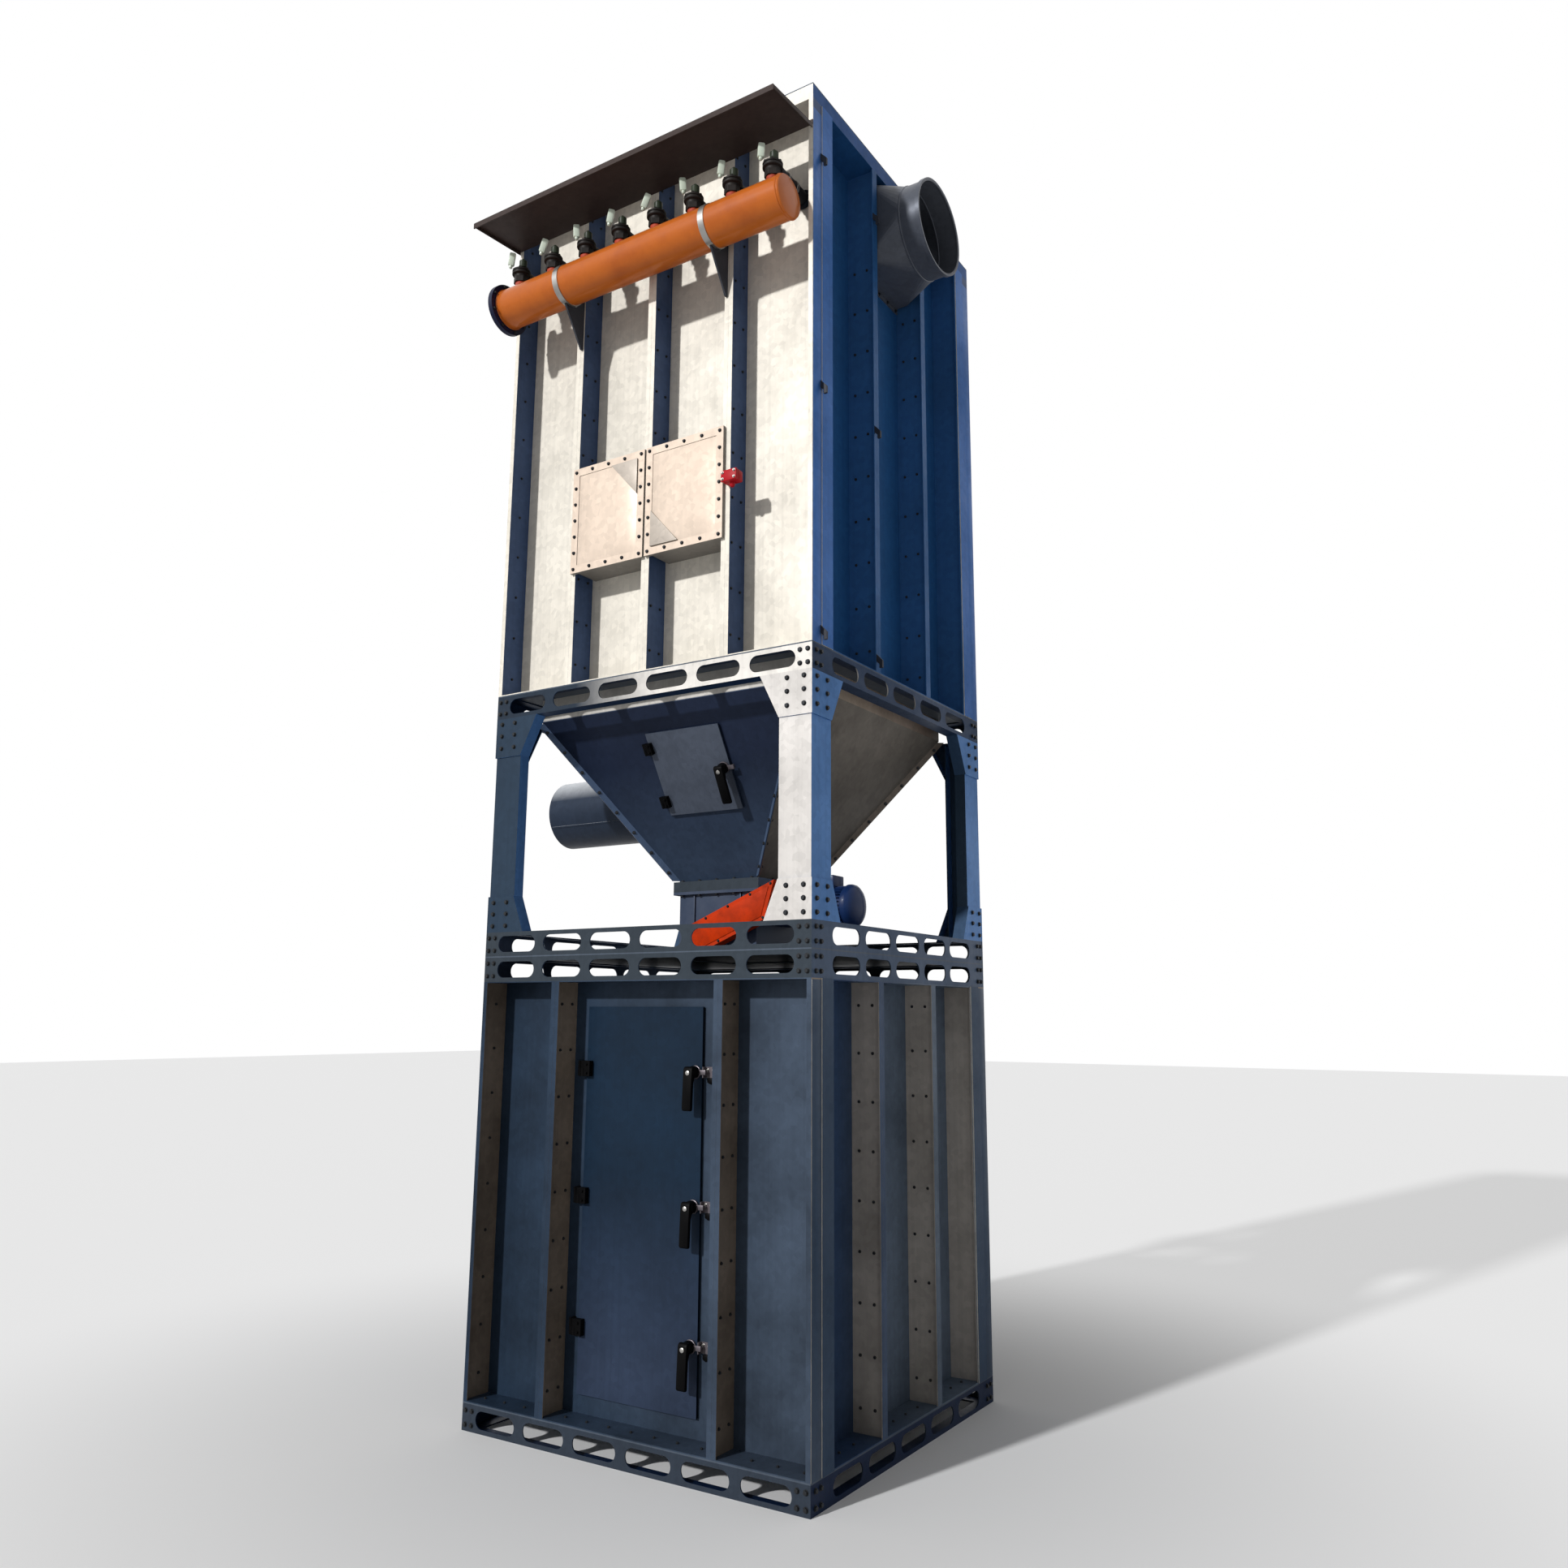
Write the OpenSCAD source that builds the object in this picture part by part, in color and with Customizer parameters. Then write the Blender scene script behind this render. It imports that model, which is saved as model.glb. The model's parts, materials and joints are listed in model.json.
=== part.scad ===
// Pulse jet dust collector: a bolted sheet steel tower with a bottom room, an open leg bay
// round the hopper, and a ribbed filter housing with a compressed air header on its front.
// Millimetres, +Z up, +X to the right of the front. The origin is on the ground, at the
// centre of the footprint.

/* [Tower] */
// Width of the tower across its front
tower_w = 1600; // [1500:10:1800]
// Depth of the tower from front to back
tower_d = 1500; // [1400:10:1700]
// Height of every folded beam ring
beam_h = 100; // [90:1:120]
// Height of the bottom room's walls
room_h = 1630; // [1600:10:1800]
// Height of the open leg bay between its beam rings
leg_h = 920; // [880:10:1000]
// Height of the filter housing's walls below its top rim
housing_h = 2280; // [2240:10:2500]
// Height of the rim above the housing walls
rim_h = 60; // [40:1:90]

/* [Sheet metal] */
// Thickness of the wall panels
panel_t = 4; // [3:0.5:5]
// Thickness of the folded beams, legs and gussets
frame_t = 5; // [4:0.5:6]
// Thickness of the floor, roof and ring plates
deck_t = 5; // [4:0.5:8]
// Depth of the panel bays, from the rib tips to the sheet
bay_depth = 130; // [110:5:150]
// Width of the lip folded at each rib tip
lip_w = 20; // [14:1:26]
// Distance of the front ribs from the middle
front_rib_x = 400; // [380:5:440]
// Distance of the side ribs from the middle
side_rib_y = 230; // [215:5:260]
// Gap between neighbouring bolted pieces
seam = 0.4; // [0.2:0.1:0.6]
// Width of the cover strip on each corner seam
strip_w = 80; // [70:1:90]
// Distance of the cover strip's edge from the corner
strip_inset = 68; // [60:1:90]

/* [Beams] */
// Width of the beams' top and bottom flanges
beam_flange = 60; // [50:1:75]
// Length of one slot in a beam
slot_l = 205; // [180:5:215]
// Height of one slot in a beam
slot_h = 66; // [56:1:70]
// Distance between slot centres
slot_pitch = 250; // [235:5:255]
// Radius of the anchor holes in the lowest beams' bottom flanges
anchor_r = 9; // [7:1:12]
// Distance of the anchor holes from the ends of the lowest beams
anchor_end = 100; // [60:5:140]

/* [Legs] */
// Width of each face of a leg
leg_w = 140; // [120:5:160]
// Width of the leg's folded returns
leg_return = 50; // [35:5:60]
// Height of the flared gusset at the head of a leg
head_flare_h = 170; // [150:5:200]
// How far the head gusset widens past the leg
head_flare_w = 85; // [60:5:110]
// Height of the flared gusset at the foot of a leg
foot_flare_h = 150; // [130:5:180]
// How far the foot gusset widens past the leg
foot_flare_w = 60; // [40:5:90]

/* [Door] */
// Width of the door leaf
door_w = 568; // [550:1:580]
// Height of the door leaf
door_h = 1455; // [1400:5:1480]
// Depth of the door leaf's folded edges
door_t = 9; // [7:0.5:12]
// Left edge of the door leaf, from the middle of the front
door_x = -318; // [-324:1:-312]
// Bottom edge of the door leaf above the ground
door_z = 180; // [170:1:190]
// How far the door leaf overlaps the doorway all round
door_lap = 12; // [8:1:20]
// Gap between the door leaf and the wall for the gasket
door_gap = 5; // [5:0.5:6]
// Height of one door hinge
hinge_h = 60; // [50:1:80]
// Radius of the door hinge knuckles
hinge_r = 10; // [8:0.5:12]
// Radius of the door hinge pins
hinge_pin_r = 5; // [4:0.5:6]
// Distance of the outer hinges and latches from the door's middle height
door_row = 485; // [440:5:560]

/* [Latches] */
// Radius of a lever latch's hub
hub_r = 17; // [14:1:20]
// Length of the lever below the hub
lever_l = 165; // [140:5:180]
// Width of the lever
lever_w = 28; // [22:1:32]
// Thickness of the lever
lever_t = 18; // [14:1:22]
// How far the hub stands out from its panel
hub_out = 52; // [44:1:58]
// How far the grip stands out beyond the hub
lever_set = 10; // [6:1:18]
// Distance of a latch hub from the edge of its panel
hub_edge = 28; // [26:1:40]
// Width of the keeper plates on the door frame
keeper_w = 46; // [40:1:60]
// Height of the keeper plates
keeper_h = 40; // [30:1:50]

/* [Hopper] */
// Half width of the hopper inside at the top
hopper_x = 660; // [640:5:665]
// Half depth of the hopper inside at the top
hopper_y = 610; // [590:5:615]
// Half size of the square outlet inside
outlet_half = 196; // [180:1:205]
// Width of the outlet frame round the hole
outlet_rim = 21; // [18:1:30]
// Height of the outlet frame
outlet_t = 45; // [35:1:60]
// Width of the folded flanges along the hopper's corners
fin_w = 30; // [24:1:40]

/* [Hatch] */
// Width of the hopper hatch
hatch_w = 370; // [340:5:390]
// Length of the hopper hatch along the wall
hatch_l = 370; // [340:5:390]
// Distance of the hatch's middle up the wall from the outlet
hatch_up = 503; // [480:1:520]
// Sideways place of the hatch's middle
hatch_x = 60; // [30:5:70]
// Thickness of the hatch cover
hatch_t = 8; // [6:0.5:12]

/* [Rotary valve and drive] */
// Height of the rotary valve with its bolting flanges
feeder_h = 287; // [275:1:300]
// Thickness of the rotary valve's bolting flanges
valve_flange_t = 12; // [8:1:16]
// Half size of the rotary valve's body
valve_half = 200; // [190:1:210]
// Slope of the chain guard
guard_tilt = 22; // [15:1:28]
// Width of the chain guard
guard_w = 130; // [110:5:150]
// Length of the chain guard's upper edge
guard_l = 498; // [450:1:520]
// How far the chain guard's right end slants inwards to its lower edge
guard_slant = 101; // [80:1:120]
// Thickness of the chain guard
guard_t = 56; // [45:1:70]
// Height of the rotor shaft above the rotary valve's foot
rotor_up = 104; // [95:1:115]
// Distance between the two sprocket shafts
sprocket_gap = 295; // [280:5:300]
// Radius of the gear motor
motor_r = 85; // [75:1:88]
// Length of the gear motor
motor_l = 200; // [180:5:240]

/* [Ducts] */
// Inner radius of the inlet duct
inlet_r = 157; // [140:1:170]
// Distance of the inlet duct's axis below the top of the leg bay
inlet_drop = 300; // [280:1:315]
// Reach of the inlet duct from the middle of the tower
inlet_reach = 1030; // [950:5:1100]
// Inner radius of the outlet collar
collar_r = 200; // [180:1:205]
// Distance of the outlet duct's axis below the top of the housing walls
collar_drop = 215; // [210:1:225]
// Width of the outlet's rectangular base inside
base_w = 400; // [380:1:410]
// Height of the outlet's rectangular base inside
base_h = 370; // [350:1:375]
// Thickness of the duct sheet
duct_t = 3; // [2:0.5:5]
// Length of the outlet's rectangular base
base_l = 65; // [50:5:80]
// Length of the square to round transition
transition_l = 165; // [140:5:200]
// Length of the round collar
collar_l = 100; // [80:5:130]
// Width of the outlet collar's end ring
ring_w = 18; // [12:1:25]

/* [Explosion vents] */
// Width of one explosion vent
vent_w = 390; // [370:1:394]
// Height of one explosion vent
vent_h = 472; // [450:1:490]
// Height of the vents' middle above the foot of the housing
vent_up = 717; // [685:1:755]
// Thickness of the vents' outer border
vent_t = 10; // [8:1:16]
// Width of the vents' border round the membrane
vent_border = 34; // [28:1:40]
// Thickness of the vents' membrane and its hold-down frame
membrane_t = 6; // [4:1:10]

/* [Air header] */
// Radius of the compressed air tank
tank_r = 86; // [80:1:92]
// Wall of the compressed air tank
tank_wall = 6; // [4:0.5:8]
// Length of the compressed air tank
tank_l = 1486; // [1460:2:1500]
// Distance of the tank's axis in front of the tower's front
tank_out = 107; // [100:1:120]
// Distance of the tank's axis below the top of the housing walls
tank_drop = 499; // [490:1:510]
// Distance of the tank brackets from the middle
tank_arm_x = 390; // [386:1:394]
// Number of pulse valves
valves = 8; // [6:1:9]
// Distance between the pulse valves
valve_pitch = 194; // [170:1:196]
// Radius of a pulse valve's nipple
nipple_r = 26; // [22:1:30]
// Radius of a pulse valve's body
valve_r = 38; // [32:1:42]
// Height of a pulse valve's body
valve_h = 60; // [50:1:70]
// Radius of a blow pipe
pipe_r = 28; // [24:1:29]

/* [Canopy] */
// Reach of the canopy in front of the tower
canopy_out = 295; // [270:5:330]
// Distance of the canopy's back edge below the top of the housing walls
canopy_drop = 125; // [95:5:145]
// Fall of the canopy towards its front edge
canopy_fall = 28; // [15:1:40]
// Height of the canopy's front lip
canopy_lip = 25; // [15:1:40]
// Thickness of the canopy sheet
canopy_t = 3; // [2:0.5:4]

/* [Small parts] */
// Clearance between pieces that move on each other
run_gap = 0.3; // [0.2:0.05:0.5]
// Width of the sensor box
sensor_w = 85; // [70:1:110]
// Height of the sensor box
sensor_h = 70; // [55:1:90]
// Depth of the sensor box
sensor_d = 45; // [35:1:60]
// Height of a panel hook
hook_h = 60; // [45:1:80]
// Reach of a panel hook
hook_out = 28; // [20:1:40]

/* [Hidden] */
$fn = 64;

half_w = tower_w / 2;
half_d = tower_d / 2;

// Levels, from the ground up
room_z = beam_h + deck_t;
room_top = room_z + room_h;
roof_z = room_top + beam_h;
leg_base_z = roof_z + deck_t;
leg_z = leg_base_z + beam_h;
leg_top = leg_z + leg_h;
ring_z = leg_top + beam_h;
housing_z = ring_z + deck_t;
housing_top = housing_z + housing_h;
rim_top = housing_top + rim_h;
tower_top = rim_top + deck_t;

// Anchor holes, one near each corner
anchor_x = half_w - anchor_end;
anchor_y = half_d - beam_flange / 2;

// Walls: the panel's sheet lies behind its bay, and the side walls fit between front and back
wall_t = bay_depth + panel_t;
inner_x = half_w - wall_t;
inner_y = half_d - wall_t;
front_sheet_y = -half_d + bay_depth;
side_sheet_x = half_w - bay_depth;

// Slots: as many as the pitch allows between the corners
slot_margin = 20;
front_slots = floor((tower_w - 2 * frame_t - slot_l - 2 * slot_margin) / slot_pitch) + 1;
side_slots = floor((tower_d - 2 * frame_t - slot_l - 2 * slot_margin) / slot_pitch) + 1;

// Door
door_y = front_sheet_y - door_gap;
door_face_y = door_y - door_t;
door_mid_z = door_z + door_h / 2;
door_rows = [door_mid_z - door_row, door_mid_z, door_mid_z + door_row];
hinge_x = door_x - hinge_r - 2;
hinge_y = door_face_y - hinge_r - 2;
hinge_plate_t = 10;
hinge_leaf_l = 30;
door_hub_x = door_x + door_w - hub_edge;
keeper_gap = 8;
keeper_x = door_x + door_w + keeper_gap;
keeper_t = 4;
keeper_out = 24;
hub_base_r = hub_r + 5;
hub_base_t = 6;

// Hopper walls: plan and slope
outlet_z = leg_base_z + feeder_h;
hopper_out_x = hopper_x + panel_t;
hopper_out_y = hopper_y + panel_t;
outlet_out = outlet_half + panel_t;
hopper_low = outlet_z + outlet_t;
hopper_h = leg_top - hopper_low;
front_run = hopper_out_y - outlet_out;
front_slope = atan(front_run / hopper_h);
front_len = sqrt(pow(front_run, 2) + pow(hopper_h, 2));
corner_run = sqrt(pow(hopper_out_x - outlet_out, 2) + pow(hopper_out_y - outlet_out, 2));
corner_turn = atan((hopper_out_y - outlet_out) / (hopper_out_x - outlet_out));
wedge_far = 1000;
wedge_near = 20;
fin_end = 6;

// Hatch: drawn in the front wall's own plane, with its origin at the outlet's edge
hatch_gap = 5;
hatch_lap = 25;
hatch_hinge_r = 9;
hatch_pin_r = 4;
hatch_hinge_h = 50;
hatch_hinge_row = 120;
hatch_hinge_x = hatch_x - hatch_w / 2 - hatch_hinge_r - 5;
hatch_leaf_l = 20;
hatch_hinge_y = -hatch_gap - hatch_t - hatch_hinge_r - 2;
hatch_hub_x = hatch_x + hatch_w / 2 - hub_edge;

// Rotary valve and its chain drive
valve_z = leg_base_z;
valve_top = outlet_z;
rotor_z = valve_z + rotor_up;
valve_neck = 15;
boss_r = 48;
boss_l = 24;
guard_back_y = -valve_half - boss_l;
guard_left = 110;
guard_toe = 30;
gear_x = sprocket_gap * cos(guard_tilt);
gear_z = rotor_z + sprocket_gap * sin(guard_tilt);
gear_w = 120;
gear_h = 150;
gear_d = 180;
gear_left = outlet_out + outlet_rim + 2 * seam;
gear_foot_d = 120;
gear_foot_top = valve_top - valve_flange_t - 5;
cowl_l = 50;
shaft_r = 14;

// Explosion vents: the duct passes between the lips of its bay
vent_z = housing_z + vent_up;
vent_wall = 4;
vent_duct_w = front_rib_x - 2 * lip_w - 2;
vent_duct_h = vent_h - 20;

// Ducts
inlet_z = leg_top - inlet_drop;
collar_z = housing_top - collar_drop;
base_flange = 20;
ring_t = 6;
outlet_x = side_sheet_x;
base_end = outlet_x + base_l;
transition_end = base_end + transition_l;
collar_end = transition_end + collar_l;

// Air header
tank_y = -half_d - tank_out;
tank_z = housing_top - tank_drop;
end_t = 22;
flange_over = 26;
cap_t = 10;
arm_t = 8;
arm_drop = 170;
arm_over = 60;
arm_foot = 12;
arm_nose = 30;
arm_rise = 20;
strap_t = 4;
strap_w = 40;
nipple_h = 45;
nipple_z = tank_z + tank_r - 6;
body_z = tank_z + tank_r + nipple_h - 6;
solenoid_r = 17;
solenoid_h = 52;
valve_x0 = -valve_pitch * (valves - 1) / 2;
pipe_z = body_z + valve_h / 2;

// Canopy
canopy_z = housing_top - canopy_drop;
canopy_flange = 20;

// Corner seams, and the hooks in three rows up the housing
strip_t = 4;
hook_t = 10;
hook_foot = 15;
hook_head = 280;
hook_rows = [hook_foot, (hook_foot + housing_h - hook_head) / 2, housing_h - hook_head];

// A flat slot outline with round ends
module slot_outline(l, h) {
    square([l - h, h], center = true);
    for (side = [-1, 1])
        translate([side * (l - h) / 2, 0])
            circle(r = h / 2);
}

// A slotted web that stands on edge along X, with its outer face at y = 0
module slotted_web(l, slots) {
    translate([0, frame_t, beam_h / 2])
        rotate([90, 0, 0])
            linear_extrude(frame_t)
                difference() {
                    square([l, beam_h], center = true);
                    for (i = [0 : slots - 1])
                        translate([(i - (slots - 1) / 2) * slot_pitch, 0])
                            slot_outline(slot_l, slot_h);
                }
}

// Top and bottom flanges of a beam along X, behind its web
module beam_flanges(l) {
    for (z = [0, beam_h - frame_t])
        translate([-l / 2, frame_t, z])
            cube([l, beam_flange - frame_t, frame_t]);
}

module front_back_beams(z) {
    for (turn = [0, 180])
        rotate([0, 0, turn])
            translate([0, -half_d, z]) {
                slotted_web(tower_w, front_slots);
                beam_flanges(tower_w - 2 * frame_t - 2 * seam);
            }
}

module side_beams(z) {
    for (turn = [90, 270])
        rotate([0, 0, turn])
            translate([0, -half_w, z]) {
                slotted_web(tower_d - 2 * frame_t - 2 * seam, side_slots);
                beam_flanges(tower_d - 2 * beam_flange - 2 * seam);
            }
}

// A plate over the whole footprint
module deck(z) {
    translate([-half_w, -half_d, z])
        cube([tower_w, tower_d, deck_t]);
}

// One wall panel: a tray open to the front, from x0 to x1, with lips at its rib tips
module tray(x0, x1, h) {
    difference() {
        translate([x0, 0, 0])
            cube([x1 - x0, wall_t, h]);
        translate([x0 + panel_t, -1, panel_t])
            cube([x1 - x0 - 2 * panel_t, bay_depth + 1, h - 2 * panel_t]);
    }
    for (x = [x0 + panel_t, x1 - lip_w])
        translate([x, 0, panel_t])
            cube([lip_w - panel_t, panel_t, h - 2 * panel_t]);
}

// A row of trays between the given rib places, with the rib tips at y = 0
module tray_row(ribs, h) {
    last = len(ribs) - 2;
    for (i = [0 : last])
        tray(ribs[i] + (i > 0 ? seam / 2 : 0), ribs[i + 1] - (i < last ? seam / 2 : 0), h);
}

module front_wall_place(z) {
    translate([0, -half_d, z])
        children();
}

module back_wall_place(z) {
    rotate([0, 0, 180])
        translate([0, -half_d, z])
            children();
}

module right_wall_place(z) {
    rotate([0, 0, 90])
        translate([0, -half_w, z])
            children();
}

module left_wall_place(z) {
    rotate([0, 0, 270])
        translate([0, -half_w, z])
            children();
}

side_ribs = [-inner_y, -side_rib_y, side_rib_y, inner_y];
housing_ribs = [-half_w, -front_rib_x, 0, front_rib_x, half_w];

// The lowest front and back beams have an anchor hole near each end, behind the end slots
module base_beams_front_back() {
    color("gainsboro")
        difference() {
            front_back_beams(0);
            for (sx = [-1, 1], sy = [-1, 1])
                translate([sx * anchor_x, sy * anchor_y, -1])
                    cylinder(r = anchor_r, h = frame_t + 2);
        }
}

module base_beams_sides() {
    color("gainsboro")
        side_beams(0);
}

module room_floor() {
    color("lightgray")
        deck(beam_h);
}

module room_front_panels() {
    color("gainsboro")
        front_wall_place(room_z) {
            tray(-half_w, -front_rib_x - seam / 2, room_h);
            tray(front_rib_x + seam / 2, half_w, room_h);
        }
}

module door_surround() {
    color("gainsboro")
        difference() {
            front_wall_place(room_z)
                tray(-front_rib_x + seam / 2, front_rib_x - seam / 2, room_h);
            translate([door_x + door_lap, front_sheet_y - 1, door_z + door_lap])
                cube([door_w - 2 * door_lap, panel_t + 2, door_h - 2 * door_lap]);
        }
}

module room_right_panels() {
    color("lightsteelblue")
        right_wall_place(room_z)
            tray_row(side_ribs, room_h);
}

module room_left_panels() {
    color("lightsteelblue")
        left_wall_place(room_z)
            tray_row(side_ribs, room_h);
}

module room_back_panels() {
    color("gainsboro")
        back_wall_place(room_z)
            tray_row([-half_w, -front_rib_x, front_rib_x, half_w], room_h);
}

// The leaf is a folded tray: a face sheet with edges turned back towards the wall
module door() {
    color("lightslategray")
        translate([door_x, door_face_y, door_z])
            difference() {
                cube([door_w, door_t, door_h]);
                translate([panel_t, panel_t, panel_t])
                    cube([door_w - 2 * panel_t, door_t, door_h - 2 * panel_t]);
            }
}

// Frame half of a lift-off hinge, with its pin, standing on the wall sheet
module hinge_frame_half(z) {
    translate([hinge_x, hinge_y, z - hinge_h / 2]) {
        cylinder(r = hinge_r, h = hinge_h / 2 - run_gap / 2);
        cylinder(r = hinge_pin_r, h = hinge_h);
    }
    plate_x = hinge_x - hinge_r - 2;
    plate_y = hinge_y - hinge_r * 0.4;
    translate([plate_x - hinge_plate_t, plate_y, z - hinge_h / 2])
        cube([hinge_plate_t, front_sheet_y - plate_y, hinge_h]);
    translate([plate_x, plate_y, z - hinge_h / 2])
        cube([hinge_r + 2, hinge_r, hinge_h / 2 - run_gap / 2]);
}

module door_hinges() {
    color("black")
        for (z = door_rows)
            hinge_frame_half(z);
}

// Door half of a lift-off hinge, bolted to the face of the leaf
module hinge_leaf_half(z) {
    leaf_depth = door_face_y - hinge_y;
    difference() {
        union() {
            translate([hinge_x, hinge_y, z + run_gap / 2])
                cylinder(r = hinge_r, h = (hinge_h - run_gap) / 2);
            translate([hinge_x, hinge_y - hinge_r, z + run_gap / 2])
                cube([hinge_r + 2, hinge_r + leaf_depth, (hinge_h - run_gap) / 2]);
            translate([hinge_x + hinge_r + 1, hinge_y - hinge_r, z - hinge_h / 2])
                cube([door_x + hinge_leaf_l - hinge_x - hinge_r - 1, hinge_r + leaf_depth, hinge_h]);
        }
        translate([hinge_x, hinge_y, z - 1])
            cylinder(r = hinge_pin_r + run_gap, h = hinge_h);
    }
}

module door_hinge_leaves() {
    color("black")
        for (z = door_rows)
            hinge_leaf_half(z);
}

// A lever latch with its hub at the origin on a panel whose face is y = 0, grip hanging down
module lever_latch() {
    neck = 1.5 * lever_w;
    translate([0, -run_gap, 0])
        rotate([90, 0, 0]) {
            cylinder(r = hub_base_r, h = hub_base_t);
            cylinder(r = hub_r, h = hub_out - run_gap);
        }
    translate([-lever_w / 2, 0, 0])
        rotate([90, 0, 90])
            linear_extrude(lever_w)
                polygon([[lever_t - hub_out, 0], [lever_t - hub_out, -neck],
                    [lever_t - hub_out - lever_set, -2 * neck], [lever_t - hub_out - lever_set, -lever_l],
                    [-hub_out - lever_set, -lever_l], [-hub_out - lever_set, -2 * neck],
                    [-hub_out, -neck], [-hub_out, 0]]);
}

module door_latch_top() {
    color("black")
        translate([door_hub_x, door_face_y, door_rows[2]])
            lever_latch();
}

module door_latch_middle() {
    color("black")
        translate([door_hub_x, door_face_y, door_rows[1]])
            lever_latch();
}

module door_latch_bottom() {
    color("black")
        translate([door_hub_x, door_face_y, door_rows[0]])
            lever_latch();
}

// Keeper angles on the wall beside the door's free edge
module latch_keepers() {
    color("silver")
        for (z = door_rows)
            translate([keeper_x, front_sheet_y, z - keeper_h / 2]) {
                translate([0, -keeper_t, 0])
                    cube([keeper_w, keeper_t, keeper_h]);
                translate([0, -keeper_out, 0])
                    cube([keeper_t, keeper_out - keeper_t, keeper_h]);
            }
}

module room_top_beams() {
    color("gainsboro") {
        front_back_beams(room_top);
        side_beams(room_top);
    }
}

// Deck over the bottom room, with the hole that the rotary valve discharges through
module room_roof() {
    color("lightgray")
        difference() {
            deck(roof_z);
            translate([-outlet_half, -outlet_half, roof_z - 1])
                cube([2 * outlet_half, 2 * outlet_half, deck_t + 2]);
        }
}

module leg_base_beams() {
    color("gainsboro") {
        front_back_beams(leg_base_z);
        side_beams(leg_base_z);
    }
}

// Folded leg section in plan, with its outer corner at the origin and its faces along +X and +Y
module leg_outline() {
    difference() {
        square([leg_w, leg_w]);
        translate([frame_t, frame_t])
            square([leg_w, leg_w]);
    }
    translate([leg_w - frame_t, 0])
        square([frame_t, leg_return]);
    translate([0, leg_w - frame_t])
        square([leg_return, frame_t]);
}

// Places its children at the four corners, mirrored so that each faces outwards
module at_corners(inset) {
    for (sx = [-1, 1], sy = [-1, 1])
        translate([sx * (half_w - inset), sy * (half_d - inset), 0])
            mirror([sx > 0 ? 1 : 0, 0, 0])
                mirror([0, sy > 0 ? 1 : 0, 0])
                    children();
}

module legs() {
    color("gainsboro")
        at_corners(frame_t)
            translate([0, 0, leg_z])
                linear_extrude(leg_h)
                    leg_outline();
}

// One face of a gusset: as wide as the leg at one end and flared at the other
module gusset_face(h, flare, upward) {
    near = leg_w + frame_t;
    far = near + flare;
    polygon(upward ? [[0, 0], [near, 0], [far, h], [0, h]] : [[0, 0], [far, 0], [near, h], [0, h]]);
}

// Section of the return folded back along a gusset's slanting edge, clear of the leg
module gusset_return(h, flare, upward) {
    near = leg_w + frame_t;
    far = near + flare;
    thick = frame_t * sqrt(pow(h, 2) + pow(flare, 2)) / h;
    low = seam * h / flare;
    high = (seam + thick) * h / flare;
    polygon(upward ? [[near + seam, low], [far, h], [far - thick, h], [near + seam, high]]
        : [[near + seam, h - low], [far, 0], [far - thick, 0], [near + seam, h - high]]);
}

// Corner gusset: two faces with their folded returns, its outer corner at the origin
module corner_gusset(h, flare, upward) {
    translate([0, frame_t + leg_return, 0])
        rotate([90, 0, 0])
            linear_extrude(frame_t + leg_return)
                gusset_return(h, flare, upward);
    rotate([90, 0, 90])
        linear_extrude(frame_t + leg_return)
            gusset_return(h, flare, upward);
    translate([0, frame_t, 0])
        rotate([90, 0, 0])
            linear_extrude(frame_t)
                gusset_face(h, flare, upward);
    difference() {
        rotate([90, 0, 90])
            linear_extrude(frame_t)
                gusset_face(h, flare, upward);
        translate([-1, -1, -1])
            cube([frame_t + 2, frame_t + 1, h + 2]);
    }
}

module leg_gussets() {
    color("gainsboro")
        at_corners(0) {
            translate([0, 0, leg_top - head_flare_h])
                corner_gusset(head_flare_h, head_flare_w, true);
            translate([0, 0, leg_z])
                corner_gusset(foot_flare_h, foot_flare_w, false);
        }
}

module upper_beams() {
    color("gainsboro") {
        front_back_beams(leg_top);
        side_beams(leg_top);
    }
}

// Ring plate on the upper beams that carries the housing and the hopper's skirt
module hopper_ring() {
    color("lightgray")
        difference() {
            deck(ring_z);
            translate([-hopper_x, -hopper_y, ring_z - 1])
                cube([2 * hopper_x, 2 * hopper_y, deck_t + 2]);
        }
}

// Profile of one hopper wall: its slope and its upright skirt, with the outer face at -low and -high
module hopper_profile(low, high) {
    polygon([[-low, hopper_low], [-high, leg_top], [-high, ring_z], [panel_t - high, ring_z],
        [panel_t - high, leg_top], [panel_t - low, hopper_low]]);
}

// Bolted flange pair that stands out along one corner of the pyramid
module corner_fin() {
    root = 1.25 * panel_t;
    step = corner_run * fin_end / hopper_h;
    translate([outlet_out, outlet_out, 0])
        rotate([0, 0, corner_turn])
            translate([0, panel_t, 0])
                rotate([90, 0, 0])
                    linear_extrude(2 * panel_t)
                        polygon([[step - root, hopper_low + fin_end], [step + fin_w, hopper_low + fin_end],
                            [corner_run - step + fin_w, leg_top - fin_end], [corner_run - step - root, leg_top - fin_end]]);
}

// Plan point on the pyramid's corner plane, this far outwards from the outlet's corner
function wedge_point(l) = [outlet_out + l * cos(corner_turn), outlet_out + l * sin(corner_turn)];

// Plan wedge that holds the wall facing -Y, between the pyramid's corner planes
module front_wedge() {
    near = wedge_point(-wedge_near);
    far = wedge_point(wedge_far);
    translate([0, 0, hopper_low - 1])
        linear_extrude(hopper_h + beam_h + 2)
            polygon([[-near.x, -near.y], [near.x, -near.y], [far.x, -far.y], [-far.x, -far.y]]);
}

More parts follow.
